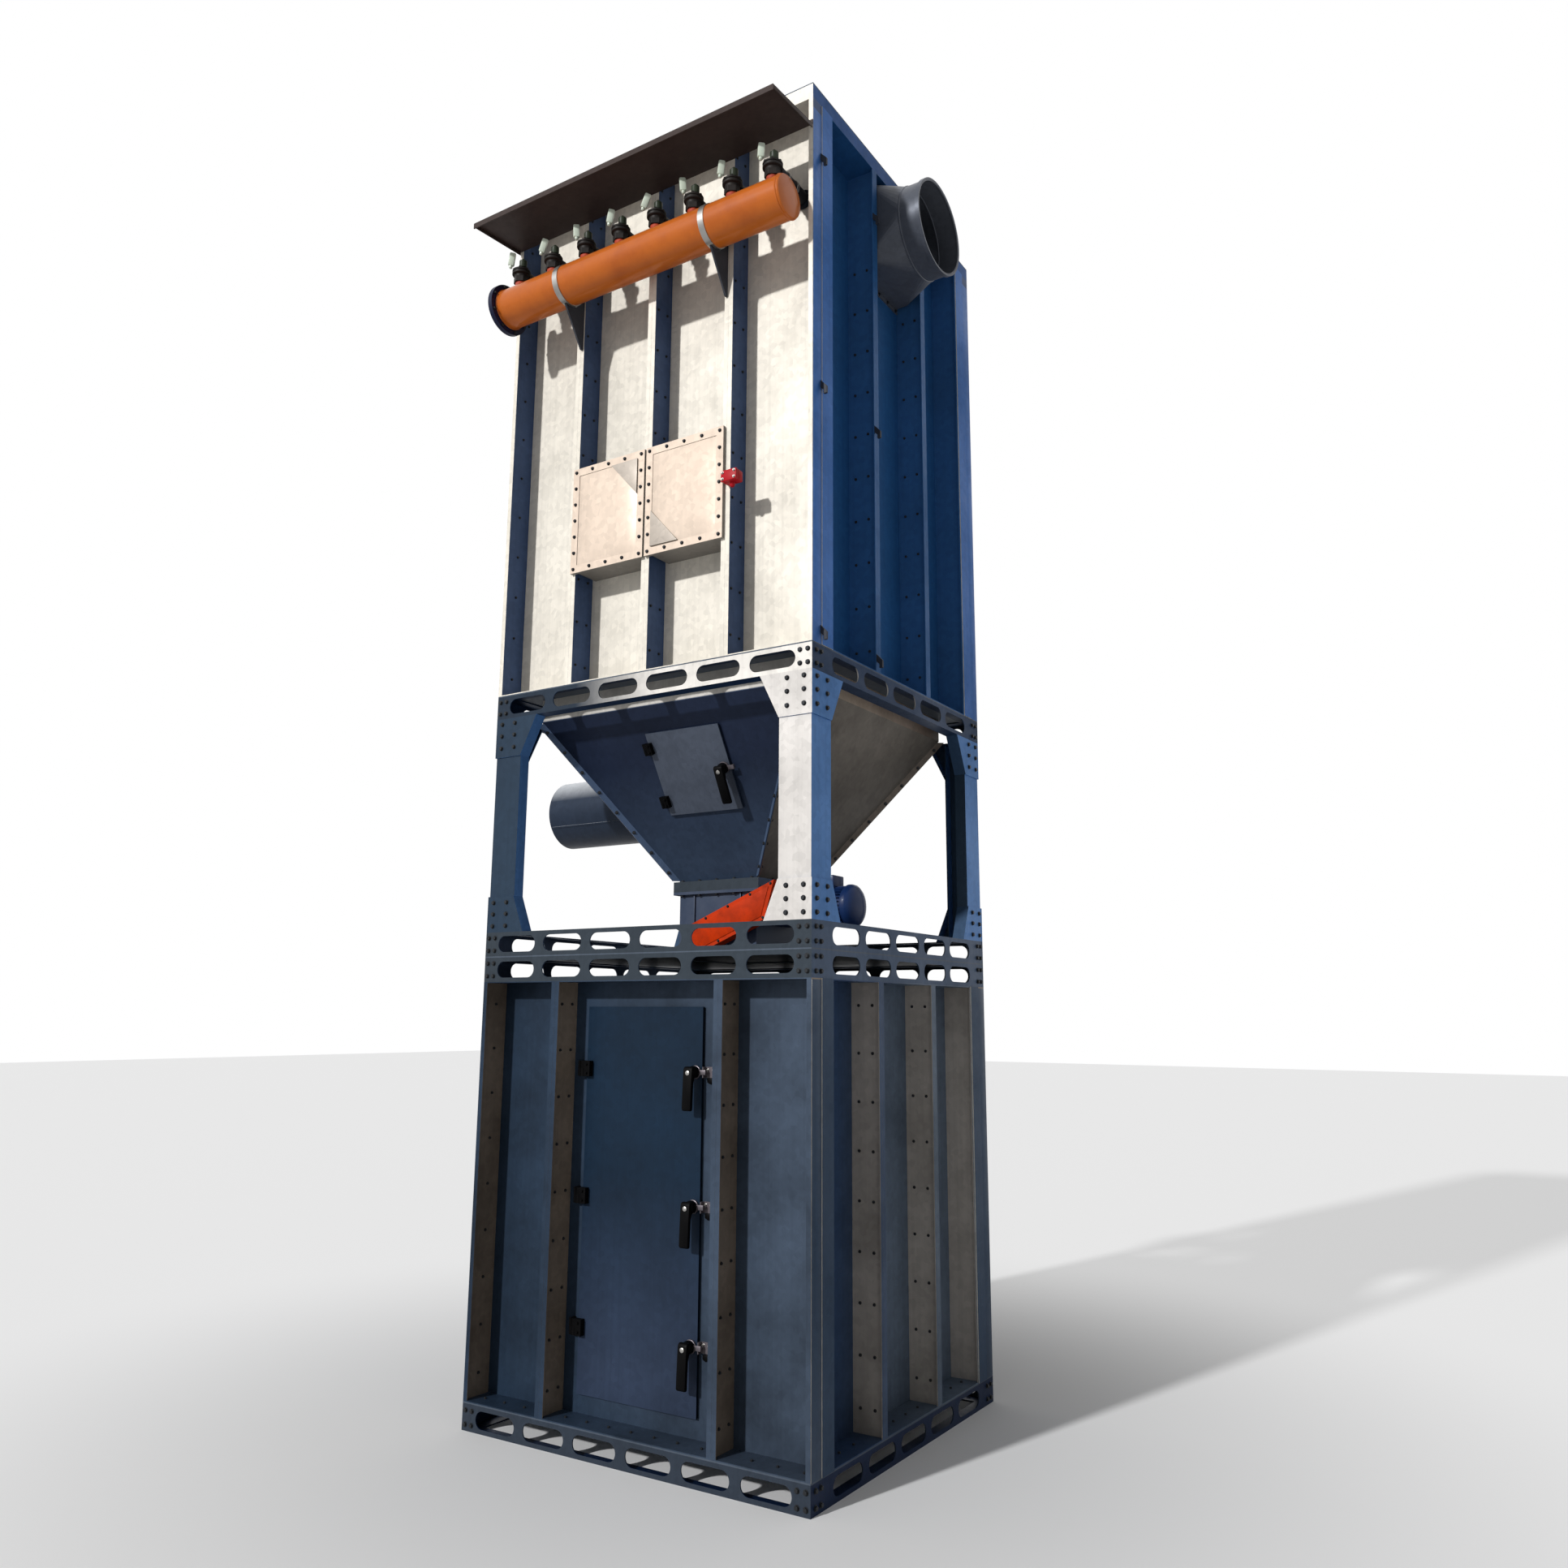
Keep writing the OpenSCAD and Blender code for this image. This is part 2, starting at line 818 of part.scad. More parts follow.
// Plan wedge that holds the wall facing -X
module left_wedge() {
    near = wedge_point(-wedge_near);
    far = wedge_point(wedge_far);
    translate([0, 0, hopper_low - 1])
        linear_extrude(hopper_h + beam_h + 2)
            polygon([[-near.x, near.y], [-far.x, far.y], [-far.x, -far.y], [-near.x, -near.y]]);
}

module hopper_fins() {
    for (sx = [0, 1], sy = [0, 1])
        mirror([sx, 0, 0])
            mirror([0, sy, 0])
                corner_fin();
}

// Front or back wall of the hopper, drawn as the front one; the walls lie a seam apart
module hopper_long_wall() {
    translate([0, -seam, 0])
        intersection() {
            union() {
                rotate([90, 0, 90])
                    linear_extrude(2 * wedge_far, center = true)
                        hopper_profile(outlet_out, hopper_out_y);
                hopper_fins();
            }
            front_wedge();
        }
}

// Left or right wall of the hopper, drawn as the left one
module hopper_short_wall() {
    intersection() {
        union() {
            rotate([90, 0, 0])
                linear_extrude(2 * wedge_far, center = true)
                    hopper_profile(outlet_out, hopper_out_x);
            hopper_fins();
        }
        left_wedge();
    }
}

// Frame of the front wall: X across, Z up the slope, -Y outwards, from the outlet's edge
module on_front_wall() {
    translate([0, -outlet_out - seam, hopper_low])
        rotate([front_slope, 0, 0])
            children();
}

module hopper_front_wall() {
    color("silver")
        difference() {
            hopper_long_wall();
            on_front_wall()
                translate([hatch_x - hatch_w / 2 + hatch_lap, -20, hatch_up - hatch_l / 2 + hatch_lap])
                    cube([hatch_w - 2 * hatch_lap, 40, hatch_l - 2 * hatch_lap]);
        }
}

module hopper_back_wall() {
    color("silver")
        mirror([0, 1, 0])
            hopper_long_wall();
}

module hopper_right_wall() {
    color("silver")
        mirror([1, 0, 0])
            hopper_short_wall();
}

module hopper_left_wall() {
    color("silver")
        difference() {
            hopper_short_wall();
            translate([-hopper_x, 0, inlet_z])
                rotate([0, 90, 0])
                    cylinder(r = inlet_r, h = hopper_x - outlet_half);
        }
}

module hopper_outlet_flange() {
    color("silver")
        difference() {
            translate([-outlet_out - outlet_rim, -outlet_out - outlet_rim, outlet_z])
                cube([2 * (outlet_out + outlet_rim), 2 * (outlet_out + outlet_rim), outlet_t]);
            translate([-outlet_half, -outlet_half, outlet_z - 1])
                cube([2 * outlet_half, 2 * outlet_half, outlet_t + 2]);
        }
}

// Closed feeder housing with bolting flanges and bearing bosses on its front and back
module rotary_valve() {
    over = outlet_out + outlet_rim;
    color("slategray") {
        for (z = [valve_z, valve_top - valve_flange_t])
            translate([-over, -over, z])
                cube([2 * over, 2 * over, valve_flange_t]);
        translate([-valve_half, -valve_half, valve_z + valve_flange_t])
            cube([2 * valve_half, 2 * valve_half, valve_top - valve_z - 2 * valve_flange_t]);
        for (turn = [0, 180])
            rotate([0, 0, turn])
                translate([0, -valve_half, rotor_z])
                    rotate([90, 0, 0])
                        cylinder(r = boss_r, h = boss_l);
    }
}

// Chain guard: a closed sloping case in front of the valve, its ends cut at a slant
module drive_guard() {
    color("orangered")
        translate([0, guard_back_y, rotor_z])
            rotate([0, -guard_tilt, 0])
                rotate([90, 0, 0])
                    linear_extrude(guard_t)
                        polygon([[-guard_left, guard_w / 2], [guard_toe - guard_left, -guard_w / 2],
                            [guard_l - guard_left - guard_slant, -guard_w / 2], [guard_l - guard_left, guard_w / 2]]);
}

// Worm gearbox on a foot at the valve's right side, with the motor and its fan cowl beyond
module gear_motor() {
    bite = 10;
    gear_low = gear_z - gear_h / 2;
    color("midnightblue") {
        translate([valve_half, -gear_foot_d / 2, gear_low])
            cube([gear_left + bite - valve_half, gear_foot_d, gear_foot_top - gear_low]);
        translate([gear_left, -gear_d / 2, gear_low])
            cube([gear_x + gear_w / 2 - gear_left, gear_d, gear_h]);
        translate([gear_x + gear_w / 2 - bite, 0, gear_z])
            rotate([0, 90, 0])
                cylinder(r = motor_r, h = motor_l + bite);
        translate([gear_x + gear_w / 2 + motor_l, 0, gear_z])
            rotate([0, 90, 0])
                cylinder(r = motor_r + 5, h = cowl_l);
        translate([gear_x, bite - gear_d / 2, gear_z])
            rotate([90, 0, 0])
                cylinder(r = shaft_r, h = bite - guard_back_y - gear_d / 2);
    }
}

// Round inlet: its inner end follows the sloping wall
module inlet_duct() {
    color("gainsboro")
        difference() {
            translate([-inlet_reach, 0, inlet_z])
                rotate([0, 90, 0])
                    difference() {
                        cylinder(r = inlet_r + duct_t, h = inlet_reach - outlet_half);
                        translate([0, 0, -1])
                            cylinder(r = inlet_r, h = inlet_reach);
                    }
            rotate([90, 0, 0])
                linear_extrude(2 * wedge_far, center = true)
                    polygon([[-outlet_out, hopper_low], [-hopper_out_x, leg_top], [0, leg_top], [0, hopper_low]]);
        }
}

module hatch() {
    color("silver")
        on_front_wall()
            translate([hatch_x - hatch_w / 2, -hatch_gap - hatch_t, hatch_up - hatch_l / 2])
                cube([hatch_w, hatch_t, hatch_l]);
}

// Hinge pedestals with pins, fixed to the wall at the hatch's left edge
module hatch_hinges() {
    color("black")
        on_front_wall()
            for (z = [hatch_up - hatch_hinge_row, hatch_up + hatch_hinge_row]) {
                translate([hatch_hinge_x, hatch_hinge_y, z - hatch_hinge_h / 2]) {
                    cylinder(r = hatch_hinge_r, h = hatch_hinge_h / 2 - run_gap / 2);
                    cylinder(r = hatch_pin_r, h = hatch_hinge_h);
                }
                translate([hatch_hinge_x - hatch_hinge_r, hatch_hinge_y, z - hatch_hinge_h / 2])
                    cube([2 * hatch_hinge_r, -hatch_hinge_y, hatch_hinge_h / 2 - run_gap / 2]);
            }
}

// Hatch halves of the hinges, bolted to the face of the cover
module hatch_hinge_leaves() {
    color("black")
        on_front_wall()
            for (z = [hatch_up - hatch_hinge_row, hatch_up + hatch_hinge_row])
                translate([hatch_hinge_x, hatch_hinge_y, z + run_gap / 2])
                    difference() {
                        union() {
                            cylinder(r = hatch_hinge_r, h = (hatch_hinge_h - run_gap) / 2);
                            translate([0, -hatch_hinge_r, 0])
                                cube([hatch_hinge_r + 2, 2 * hatch_hinge_r + 2, (hatch_hinge_h - run_gap) / 2]);
                            translate([hatch_hinge_r + 1, -hatch_hinge_r, -(hatch_hinge_h + run_gap) / 2])
                                cube([4 + hatch_leaf_l, 2 * hatch_hinge_r + 2, hatch_hinge_h]);
                        }
                        translate([0, 0, -1])
                            cylinder(r = hatch_pin_r + run_gap, h = hatch_hinge_h);
                    }
}

module hatch_latch() {
    color("black")
        on_front_wall()
            translate([hatch_hub_x, -hatch_gap - hatch_t, hatch_up])
                lever_latch();
}

// The two middle bays' sheets are cut out behind the explosion vents
module housing_front_panels() {
    color("antiquewhite")
        difference() {
            front_wall_place(housing_z)
                tray_row(housing_ribs, housing_h);
            at_vents()
                translate([-vent_duct_w / 2 + vent_wall, front_sheet_y - 1, -vent_duct_h / 2 + vent_wall])
                    cube([vent_duct_w - 2 * vent_wall, panel_t + 2, vent_duct_h - 2 * vent_wall]);
        }
}

// The middle bay's sheet is cut out for the outlet duct
module housing_right_panels() {
    color("steelblue")
        difference() {
            right_wall_place(housing_z)
                tray_row(side_ribs, housing_h);
            translate([inner_x - 1, -base_w / 2, collar_z - base_h / 2])
                cube([panel_t + 2, base_w, base_h]);
        }
}

module housing_left_panels() {
    color("steelblue")
        left_wall_place(housing_z)
            tray_row(side_ribs, housing_h);
}

module housing_back_panels() {
    color("antiquewhite")
        back_wall_place(housing_z)
            tray_row(housing_ribs, housing_h);
}

// Cover strips over the seams between the front and back trays and the side walls
module corner_strips() {
    color("lightsteelblue")
        for (level = [[room_z, room_h], [housing_z, housing_h]], turn = [0, 1], side = [0, 1])
            mirror([turn, 0, 0])
                mirror([0, side, 0])
                    translate([half_w, -half_d + strip_inset, level[0]])
                        cube([strip_t, strip_w, level[1]]);
}

module housing_rim() {
    color("gainsboro")
        difference() {
            translate([-half_w, -half_d, housing_top])
                cube([tower_w, tower_d, rim_h]);
            translate([-half_w + panel_t, -half_d + panel_t, housing_top - 1])
                cube([tower_w - 2 * panel_t, tower_d - 2 * panel_t, rim_h + 2]);
        }
}

module housing_roof() {
    color("gainsboro")
        deck(rim_top);
}

module at_vents() {
    for (side = [-1, 1])
        translate([side * front_rib_x / 2, 0, vent_z])
            children();
}

// Vent frames: a duct from the wall sheet to the rib tips, with a border plate on the ribs
module vent_frames() {
    color("whitesmoke")
        at_vents()
            difference() {
                union() {
                    translate([-vent_duct_w / 2, -half_d, -vent_duct_h / 2])
                        cube([vent_duct_w, bay_depth, vent_duct_h]);
                    translate([-vent_w / 2, -half_d - vent_t, -vent_h / 2])
                        cube([vent_w, vent_t, vent_h]);
                }
                translate([-vent_duct_w / 2 + vent_wall, -half_d - vent_t - 1, -vent_duct_h / 2 + vent_wall])
                    cube([vent_duct_w - 2 * vent_wall, bay_depth + vent_t + 2, vent_duct_h - 2 * vent_wall]);
            }
}

// Membranes: thin plates over the frames, held by a border that stands proud of them
module vent_membranes() {
    color("white")
        at_vents()
            difference() {
                translate([-vent_w / 2, -half_d - vent_t - membrane_t, -vent_h / 2])
                    cube([vent_w, membrane_t, vent_h]);
                translate([-vent_w / 2 + vent_border, -half_d - vent_t - membrane_t - 1, -vent_h / 2 + vent_border])
                    cube([vent_w - 2 * vent_border, membrane_t / 2 + 1, vent_h - 2 * vent_border]);
            }
}

// Square to round outlet: base flange on the sheet, box, transition and collar with its ring
module outlet_solid(g) {
    translate([outlet_x - (g > 0 ? 0 : 1), -base_w / 2 - g, collar_z - base_h / 2 - g])
        cube([base_l + (g > 0 ? 0 : 1), base_w + 2 * g, base_h + 2 * g]);
    hull() {
        translate([base_end - 0.01, -base_w / 2 - g, collar_z - base_h / 2 - g])
            cube([0.01, base_w + 2 * g, base_h + 2 * g]);
        translate([transition_end, 0, collar_z])
            rotate([0, 90, 0])
                cylinder(r = collar_r + g, h = 0.01, $fn = 48);
    }
    translate([transition_end, 0, collar_z])
        rotate([0, 90, 0])
            cylinder(r = collar_r + g, h = collar_l + (g > 0 ? 0 : 1));
}

module outlet_duct() {
    color("gainsboro")
        difference() {
            union() {
                outlet_solid(duct_t);
                translate([outlet_x, -base_w / 2 - base_flange, collar_z - base_h / 2 - base_flange])
                    cube([duct_t * 2, base_w + 2 * base_flange, base_h + 2 * base_flange]);
                translate([collar_end - ring_w, 0, collar_z])
                    rotate([0, 90, 0])
                        cylinder(r = collar_r + duct_t + ring_t, h = ring_w);
            }
            outlet_solid(0);
        }
}

module air_tank() {
    color("chocolate")
        translate([-tank_l / 2, tank_y, tank_z])
            rotate([0, 90, 0])
                difference() {
                    cylinder(r = tank_r, h = tank_l);
                    translate([0, 0, -1])
                        cylinder(r = tank_r - tank_wall, h = tank_l + 2);
                }
}

// Blind flange bolted to the tank's left end
module tank_flange() {
    color("midnightblue")
        translate([-tank_l / 2 - end_t, tank_y, tank_z])
            rotate([0, 90, 0])
                cylinder(r = tank_r + flange_over, h = end_t);
}

// Plain cap welded into the tank's right end
module tank_cap() {
    color("chocolate")
        translate([tank_l / 2, tank_y, tank_z])
            rotate([0, 90, 0])
                cylinder(r = tank_r, h = cap_t);
}

// Bands round the tank that hold it in its brackets
module tank_straps() {
    color("silver")
        for (side = [-1, 1])
            translate([side * tank_arm_x - strap_w / 2, tank_y, tank_z])
                rotate([0, 90, 0])
                    difference() {
                        cylinder(r = tank_r + strap_t, h = strap_w);
                        translate([0, 0, -1])
                            cylinder(r = tank_r + run_gap, h = strap_w + 2);
                    }
}

// Triangular arms on the rib tips, cut out round the tank's bands
module tank_brackets() {
    color("darkslategray")
        for (side = [-1, 1])
            translate([side * tank_arm_x - arm_t / 2, 0, 0])
                difference() {
                    rotate([90, 0, 90])
                        linear_extrude(arm_t)
                            polygon([[-half_d, tank_z + arm_over], [-half_d, tank_z - arm_drop - tank_r],
                                [-half_d - arm_foot, tank_z - arm_drop - tank_r],
                                [tank_y - arm_nose, tank_z - tank_r + arm_rise], [tank_y, tank_z + arm_over]]);
                    translate([-1, tank_y, tank_z])
                        rotate([0, 90, 0])
                            cylinder(r = tank_r + strap_t + run_gap, h = arm_t + 2);
                }
}

// One diaphragm valve: a nipple welded on the tank and a round body on it
module pulse_valve() {
    difference() {
        translate([0, tank_y, nipple_z])
            cylinder(r = nipple_r, h = body_z - nipple_z);
        translate([-nipple_r * 2, tank_y, tank_z])
            rotate([0, 90, 0])
                cylinder(r = tank_r, h = nipple_r * 4);
    }
    translate([0, tank_y, body_z])
        cylinder(r = valve_r, h = valve_h);
}

module at_valves() {
    for (i = [0 : valves - 1])
        translate([valve_x0 + i * valve_pitch, 0, 0])
            children();
}

module pulse_valves() {
    color("firebrick")
        at_valves()
            pulse_valve();
}

module solenoids() {
    color("honeydew")
        at_valves()
            translate([0, tank_y, body_z + valve_h])
                cylinder(r = solenoid_r, h = solenoid_h);
}

// Pipes from the valves back into the housing's front sheet
module blow_pipes() {
    color("dimgray")
        at_valves()
            difference() {
                translate([0, front_sheet_y, pipe_z])
                    rotate([90, 0, 0])
                        cylinder(r = pipe_r, h = front_sheet_y - tank_y);
                translate([0, tank_y, body_z - 1])
                    cylinder(r = valve_r + run_gap, h = valve_h + 2);
            }
}

// Sloping rain sheet with a front lip and a back flange on the rib tips
module canopy() {
    color("gainsboro")
        translate([-half_w, 0, 0])
            rotate([90, 0, 90])
                linear_extrude(tower_w)
                    polygon([[-half_d, canopy_z + canopy_flange], [-half_d, canopy_z - canopy_t],
                        [-half_d - canopy_out + canopy_t, canopy_z - canopy_fall - canopy_t],
                        [-half_d - canopy_out + canopy_t, canopy_z - canopy_fall - canopy_lip],
                        [-half_d - canopy_out, canopy_z - canopy_fall - canopy_lip],
                        [-half_d - canopy_out, canopy_z - canopy_fall],
                        [-half_d - canopy_t, canopy_z], [-half_d - canopy_t, canopy_z + canopy_flange]]);
}

module sensor_box() {
    color("crimson")
        translate([front_rib_x + 10, -half_d - sensor_d, vent_z - sensor_h / 2])
            cube([sensor_w, sensor_d, sensor_h]);
}

// Outline of a hook that stands out from a wall, with its tip turned down
module hook_outline() {
    polygon([[0, hook_h], [0, hook_h / 2], [hook_out / 2, hook_h / 4], [hook_out / 2, 0], [hook_out, 0],
        [hook_out, hook_h / 2], [hook_out / 2, hook_h * 3 / 4]]);
}

// Small hooks on the right wall's seam and first rib
module panel_hooks() {
    color("dimgray")
        for (up = hook_rows, y = [-half_d + strip_inset, -side_rib_y - lip_w + hook_t])
            translate([half_w, y, housing_z + up])
                rotate([90, 0, 0])
                    linear_extrude(hook_t)
                        hook_outline();
}

base_beams_front_back();
base_beams_sides();
room_floor();
room_front_panels();
door_surround();
room_right_panels();
room_left_panels();
room_back_panels();
door();
door_hinges();
door_hinge_leaves();
door_latch_top();
door_latch_middle();
door_latch_bottom();
latch_keepers();
room_top_beams();
room_roof();
leg_base_beams();
legs();
leg_gussets();
upper_beams();
hopper_ring();
hopper_front_wall();
hopper_back_wall();
hopper_right_wall();
hopper_left_wall();
hopper_outlet_flange();
rotary_valve();
drive_guard();
gear_motor();
inlet_duct();
hatch();
hatch_hinges();
hatch_hinge_leaves();
hatch_latch();
housing_front_panels();
housing_right_panels();
housing_left_panels();
housing_back_panels();
corner_strips();
housing_rim();
housing_roof();
vent_frames();
vent_membranes();
outlet_duct();
air_tank();
tank_flange();
tank_cap();
tank_straps();
tank_brackets();
pulse_valves();
solenoids();
blow_pipes();
canopy();
sensor_box();
panel_hooks();
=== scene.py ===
# %% [markdown]
# # Dressing a pulse jet dust collector
# The CAD model gives this tower its true sizes: a bottom room with a door, a hopper in an open
# leg bay, and a ribbed filter housing with an air tank, valves and two explosion vents.
# This lesson adds what a CAD model leaves out: the fasteners, gaskets, castings and weld beads,
# and the finishes that make steel sheet look like steel sheet.

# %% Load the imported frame
import json
import math

import bpy
from mathutils import Matrix, Vector


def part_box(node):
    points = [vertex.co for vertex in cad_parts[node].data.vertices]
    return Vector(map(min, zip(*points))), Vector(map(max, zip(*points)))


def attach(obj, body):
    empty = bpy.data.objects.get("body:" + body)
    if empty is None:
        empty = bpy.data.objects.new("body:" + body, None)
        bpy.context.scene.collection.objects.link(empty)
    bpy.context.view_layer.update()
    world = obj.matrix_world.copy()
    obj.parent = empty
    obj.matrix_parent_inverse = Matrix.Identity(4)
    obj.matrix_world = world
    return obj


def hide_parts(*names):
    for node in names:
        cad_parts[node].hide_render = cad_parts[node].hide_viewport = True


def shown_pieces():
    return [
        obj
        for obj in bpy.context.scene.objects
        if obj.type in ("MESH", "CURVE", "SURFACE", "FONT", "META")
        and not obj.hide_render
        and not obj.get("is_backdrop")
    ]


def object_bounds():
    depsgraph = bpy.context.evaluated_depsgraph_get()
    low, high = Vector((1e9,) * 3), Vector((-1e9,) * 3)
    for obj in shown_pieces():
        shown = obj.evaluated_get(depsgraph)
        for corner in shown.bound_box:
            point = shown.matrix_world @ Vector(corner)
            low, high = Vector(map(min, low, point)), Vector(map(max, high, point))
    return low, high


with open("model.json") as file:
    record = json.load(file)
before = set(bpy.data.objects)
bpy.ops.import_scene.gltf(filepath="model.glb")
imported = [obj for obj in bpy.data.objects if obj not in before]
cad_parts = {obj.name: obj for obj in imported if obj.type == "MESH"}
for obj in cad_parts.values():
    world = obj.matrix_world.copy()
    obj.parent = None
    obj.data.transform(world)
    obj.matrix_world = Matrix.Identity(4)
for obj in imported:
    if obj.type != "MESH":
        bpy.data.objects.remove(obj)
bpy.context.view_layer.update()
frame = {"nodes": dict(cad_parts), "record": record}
NODES = frame["nodes"]

# %% [markdown]
# ## Camera
# The photograph was taken from eye height, in front and to the right, looking up a little. A
# camera is a position and three turns, so its matrix is built from those directly.

# %% Camera
YAW, PITCH, ROLL = (math.radians(a) for a in (32.449, 10.713, 0.345))
forward = Vector(
    (-math.sin(YAW) * math.cos(PITCH), math.cos(YAW) * math.cos(PITCH), math.sin(PITCH))
)
level_right = Vector((math.cos(YAW), math.sin(YAW), 0))
level_up = level_right.cross(forward)
cam_right = math.cos(ROLL) * level_right + math.sin(ROLL) * level_up
cam_up = math.cos(ROLL) * level_up - math.sin(ROLL) * level_right

LENS_MM, FILM_MM = 28.29, 36
EYE = (3.0564, -4.4858, 1.5982)
bpy.ops.object.camera_add()
camera = bpy.context.object
camera.name = "photo_camera"
camera.data.lens = LENS_MM
camera.data.sensor_width = FILM_MM
camera.data.clip_end = 200
turn = Matrix((cam_right, cam_up, -forward)).transposed().to_4x4()
camera.matrix_world = Matrix.Translation(EYE) @ turn
bpy.context.scene.camera = camera

# %% [markdown]
# ## Helpers for modelling by hand
# Every operator works on the selection, so each helper first deselects everything. A finished
# piece keeps its object at the origin, and its place is in its mesh, as the CAD nodes do.


# %% Selection and finishing
def pick(piece):
    """Selects one piece alone and makes it active."""
    bpy.ops.object.select_all(action="DESELECT")
    piece.select_set(True)
    bpy.context.view_layer.objects.active = piece


def settle(piece):
    """Applies a piece's modifiers and its place."""
    pick(piece)
    for modifier in list(piece.modifiers):
        bpy.ops.object.modifier_apply(modifier=modifier.name)
    bpy.ops.object.transform_apply(location=True, rotation=True, scale=True)
    return piece


def smooth(piece, angle=35):
    """Shades a piece smooth, apart from edges sharper than the angle in degrees."""
    pick(piece)
    bpy.ops.object.shade_smooth_by_angle(angle=math.radians(angle))
    return piece


def soften(piece, width, segments=2, limit=40):
    """Rounds the sharp edges with a bevel, as a press brake or a mould leaves them."""
    bevel = piece.modifiers.new("edges", "BEVEL")
    bevel.width = width
    bevel.segments = segments
    bevel.limit_method = "ANGLE"
    bevel.angle_limit = math.radians(limit)
    return settle(piece)


def block(name, low, high, edge=0.0015):
    """A box between two corners with softened edges."""
    low, high = Vector(low), Vector(high)
    bpy.ops.object.select_all(action="DESELECT")
    bpy.ops.mesh.primitive_cube_add(size=1, location=(low + high) / 2, scale=high - low)
    piece = bpy.context.object
    piece.name = name
    settle(piece)
    return smooth(soften(piece, edge))


# %% [markdown]
# A round part is a profile turned about an axis, as on a lathe. The profile is a ring of points,
# which Spin sweeps through a full turn. A flat part is an outline with a thickness.


# %% Turned and cut parts
ORIGIN, UP, DOWN = (0, 0, 0), (0, 0, 1), (0, 0, -1)
FRONTWARDS, RIGHTWARDS = (0, -1, 0), (1, 0, 0)


def pointing(place, direction):
    """The matrix that carries a part drawn along +Z to a place, pointing along direction."""
    quat = Vector(direction).to_track_quat("Z", "Y")
    return Matrix.Translation(place) @ quat.to_matrix().to_4x4()


def aim(piece, place, direction):
    """Turns a piece drawn along +Z to point along direction, and moves it to its place."""
    piece.matrix_world = pointing(place, direction)
    return settle(piece)


def ring_of(name, points):
    """A face with one corner at each given point."""
    bpy.ops.object.select_all(action="DESELECT")
    bpy.ops.mesh.primitive_circle_add(vertices=len(points), fill_type="NGON")
    piece = bpy.context.object
    piece.name = name
    for vertex, point in zip(piece.data.vertices, points):
        vertex.co = point
    return piece


def turned(name, profile, place, direction, steps=32):
    """A solid of revolution: profile holds (radius, height) pairs."""
    piece = ring_of(name, [(r, 0, h) for r, h in profile])
    bpy.ops.object.mode_set(mode="EDIT")
    bpy.ops.mesh.select_all(action="SELECT")
    bpy.ops.mesh.delete(type="ONLY_FACE")
    bpy.ops.mesh.select_all(action="SELECT")
    bpy.ops.mesh.spin(steps=steps, angle=math.tau, center=(0, 0, 0), axis=(0, 0, 1))
    bpy.ops.mesh.select_all(action="SELECT")
    bpy.ops.mesh.remove_doubles(threshold=0.00005)
    bpy.ops.mesh.normals_make_consistent(inside=False)
    bpy.ops.object.mode_set(mode="OBJECT")
    return smooth(aim(piece, place, direction))


def cut_plate(name, outline, depth, place=(0, 0, 0), edge=0.001):
    """A plate: an outline in the XZ plane, extruded towards +Y."""
    piece = ring_of(name, [(x, 0, z) for x, z in outline])
    bpy.ops.object.mode_set(mode="EDIT")
    bpy.ops.mesh.select_all(action="SELECT")
    bpy.ops.mesh.extrude_region_move(TRANSFORM_OT_translate={"value": (0, depth, 0)})
    bpy.ops.mesh.select_all(action="SELECT")
    bpy.ops.mesh.normals_make_consistent(inside=False)
    bpy.ops.object.mode_set(mode="OBJECT")
    piece.location = place
    settle(piece)
    return smooth(soften(piece, edge))


def joined(name, pieces):
    """Makes one piece of several."""
    bpy.ops.object.select_all(action="DESELECT")
    for piece in pieces:
        piece.select_set(True)
    bpy.context.view_layer.objects.active = pieces[0]
    if len(pieces) > 1:
        bpy.ops.object.join()
    pieces[0].name = name
    return settle(pieces[0])


def twin_of(name, pattern, matrix):
    """Copies a pattern with a mesh of its own, and places the copy."""
    twin = bpy.data.objects.new(name, pattern.data.copy())
    bpy.context.collection.objects.link(twin)
    twin.matrix_world = matrix
    return twin


def copies(name, pattern, places):
    """Copies a pattern to each (place, direction) pair, and joins the copies."""
    return joined(name, [twin_of(name, pattern, pointing(*spot)) for spot in places])


def drop(*patterns):
    """Deletes patterns once their copies are made."""
    for pattern in patterns:
        bpy.data.objects.remove(pattern)


# %% [markdown]
# ## Finishes
# Each finish starts from what the real one is. Colours are written as sRGB hex values and turned
# to linear once. Patterns are sized in real millimetres on Object coordinates, so they stay put
# when a door swings.


# %% Colour and node helpers
def linear(hex_colour):
    """An sRGB hex colour as linear red, green, blue and alpha."""
    values = [int(hex_colour[i : i + 2], 16) / 255 for i in (1, 3, 5)]
    return tuple(
        v / 12.92 if v <= 0.04045 else ((v + 0.055) / 1.055) ** 2.4 for v in values
    ) + (1,)


def add(tree, kind, settings=None, links=None):
    """Adds one node. A link gives a socket a value or another node's output."""
    made = tree.nodes.new(kind)
    for key, value in (settings or {}).items():
        setattr(made, key, value)
    for key, value in (links or {}).items():
        if isinstance(value, bpy.types.NodeSocket):
            tree.links.new(value, made.inputs[key])
        else:
            made.inputs[key].default_value = value
    return made


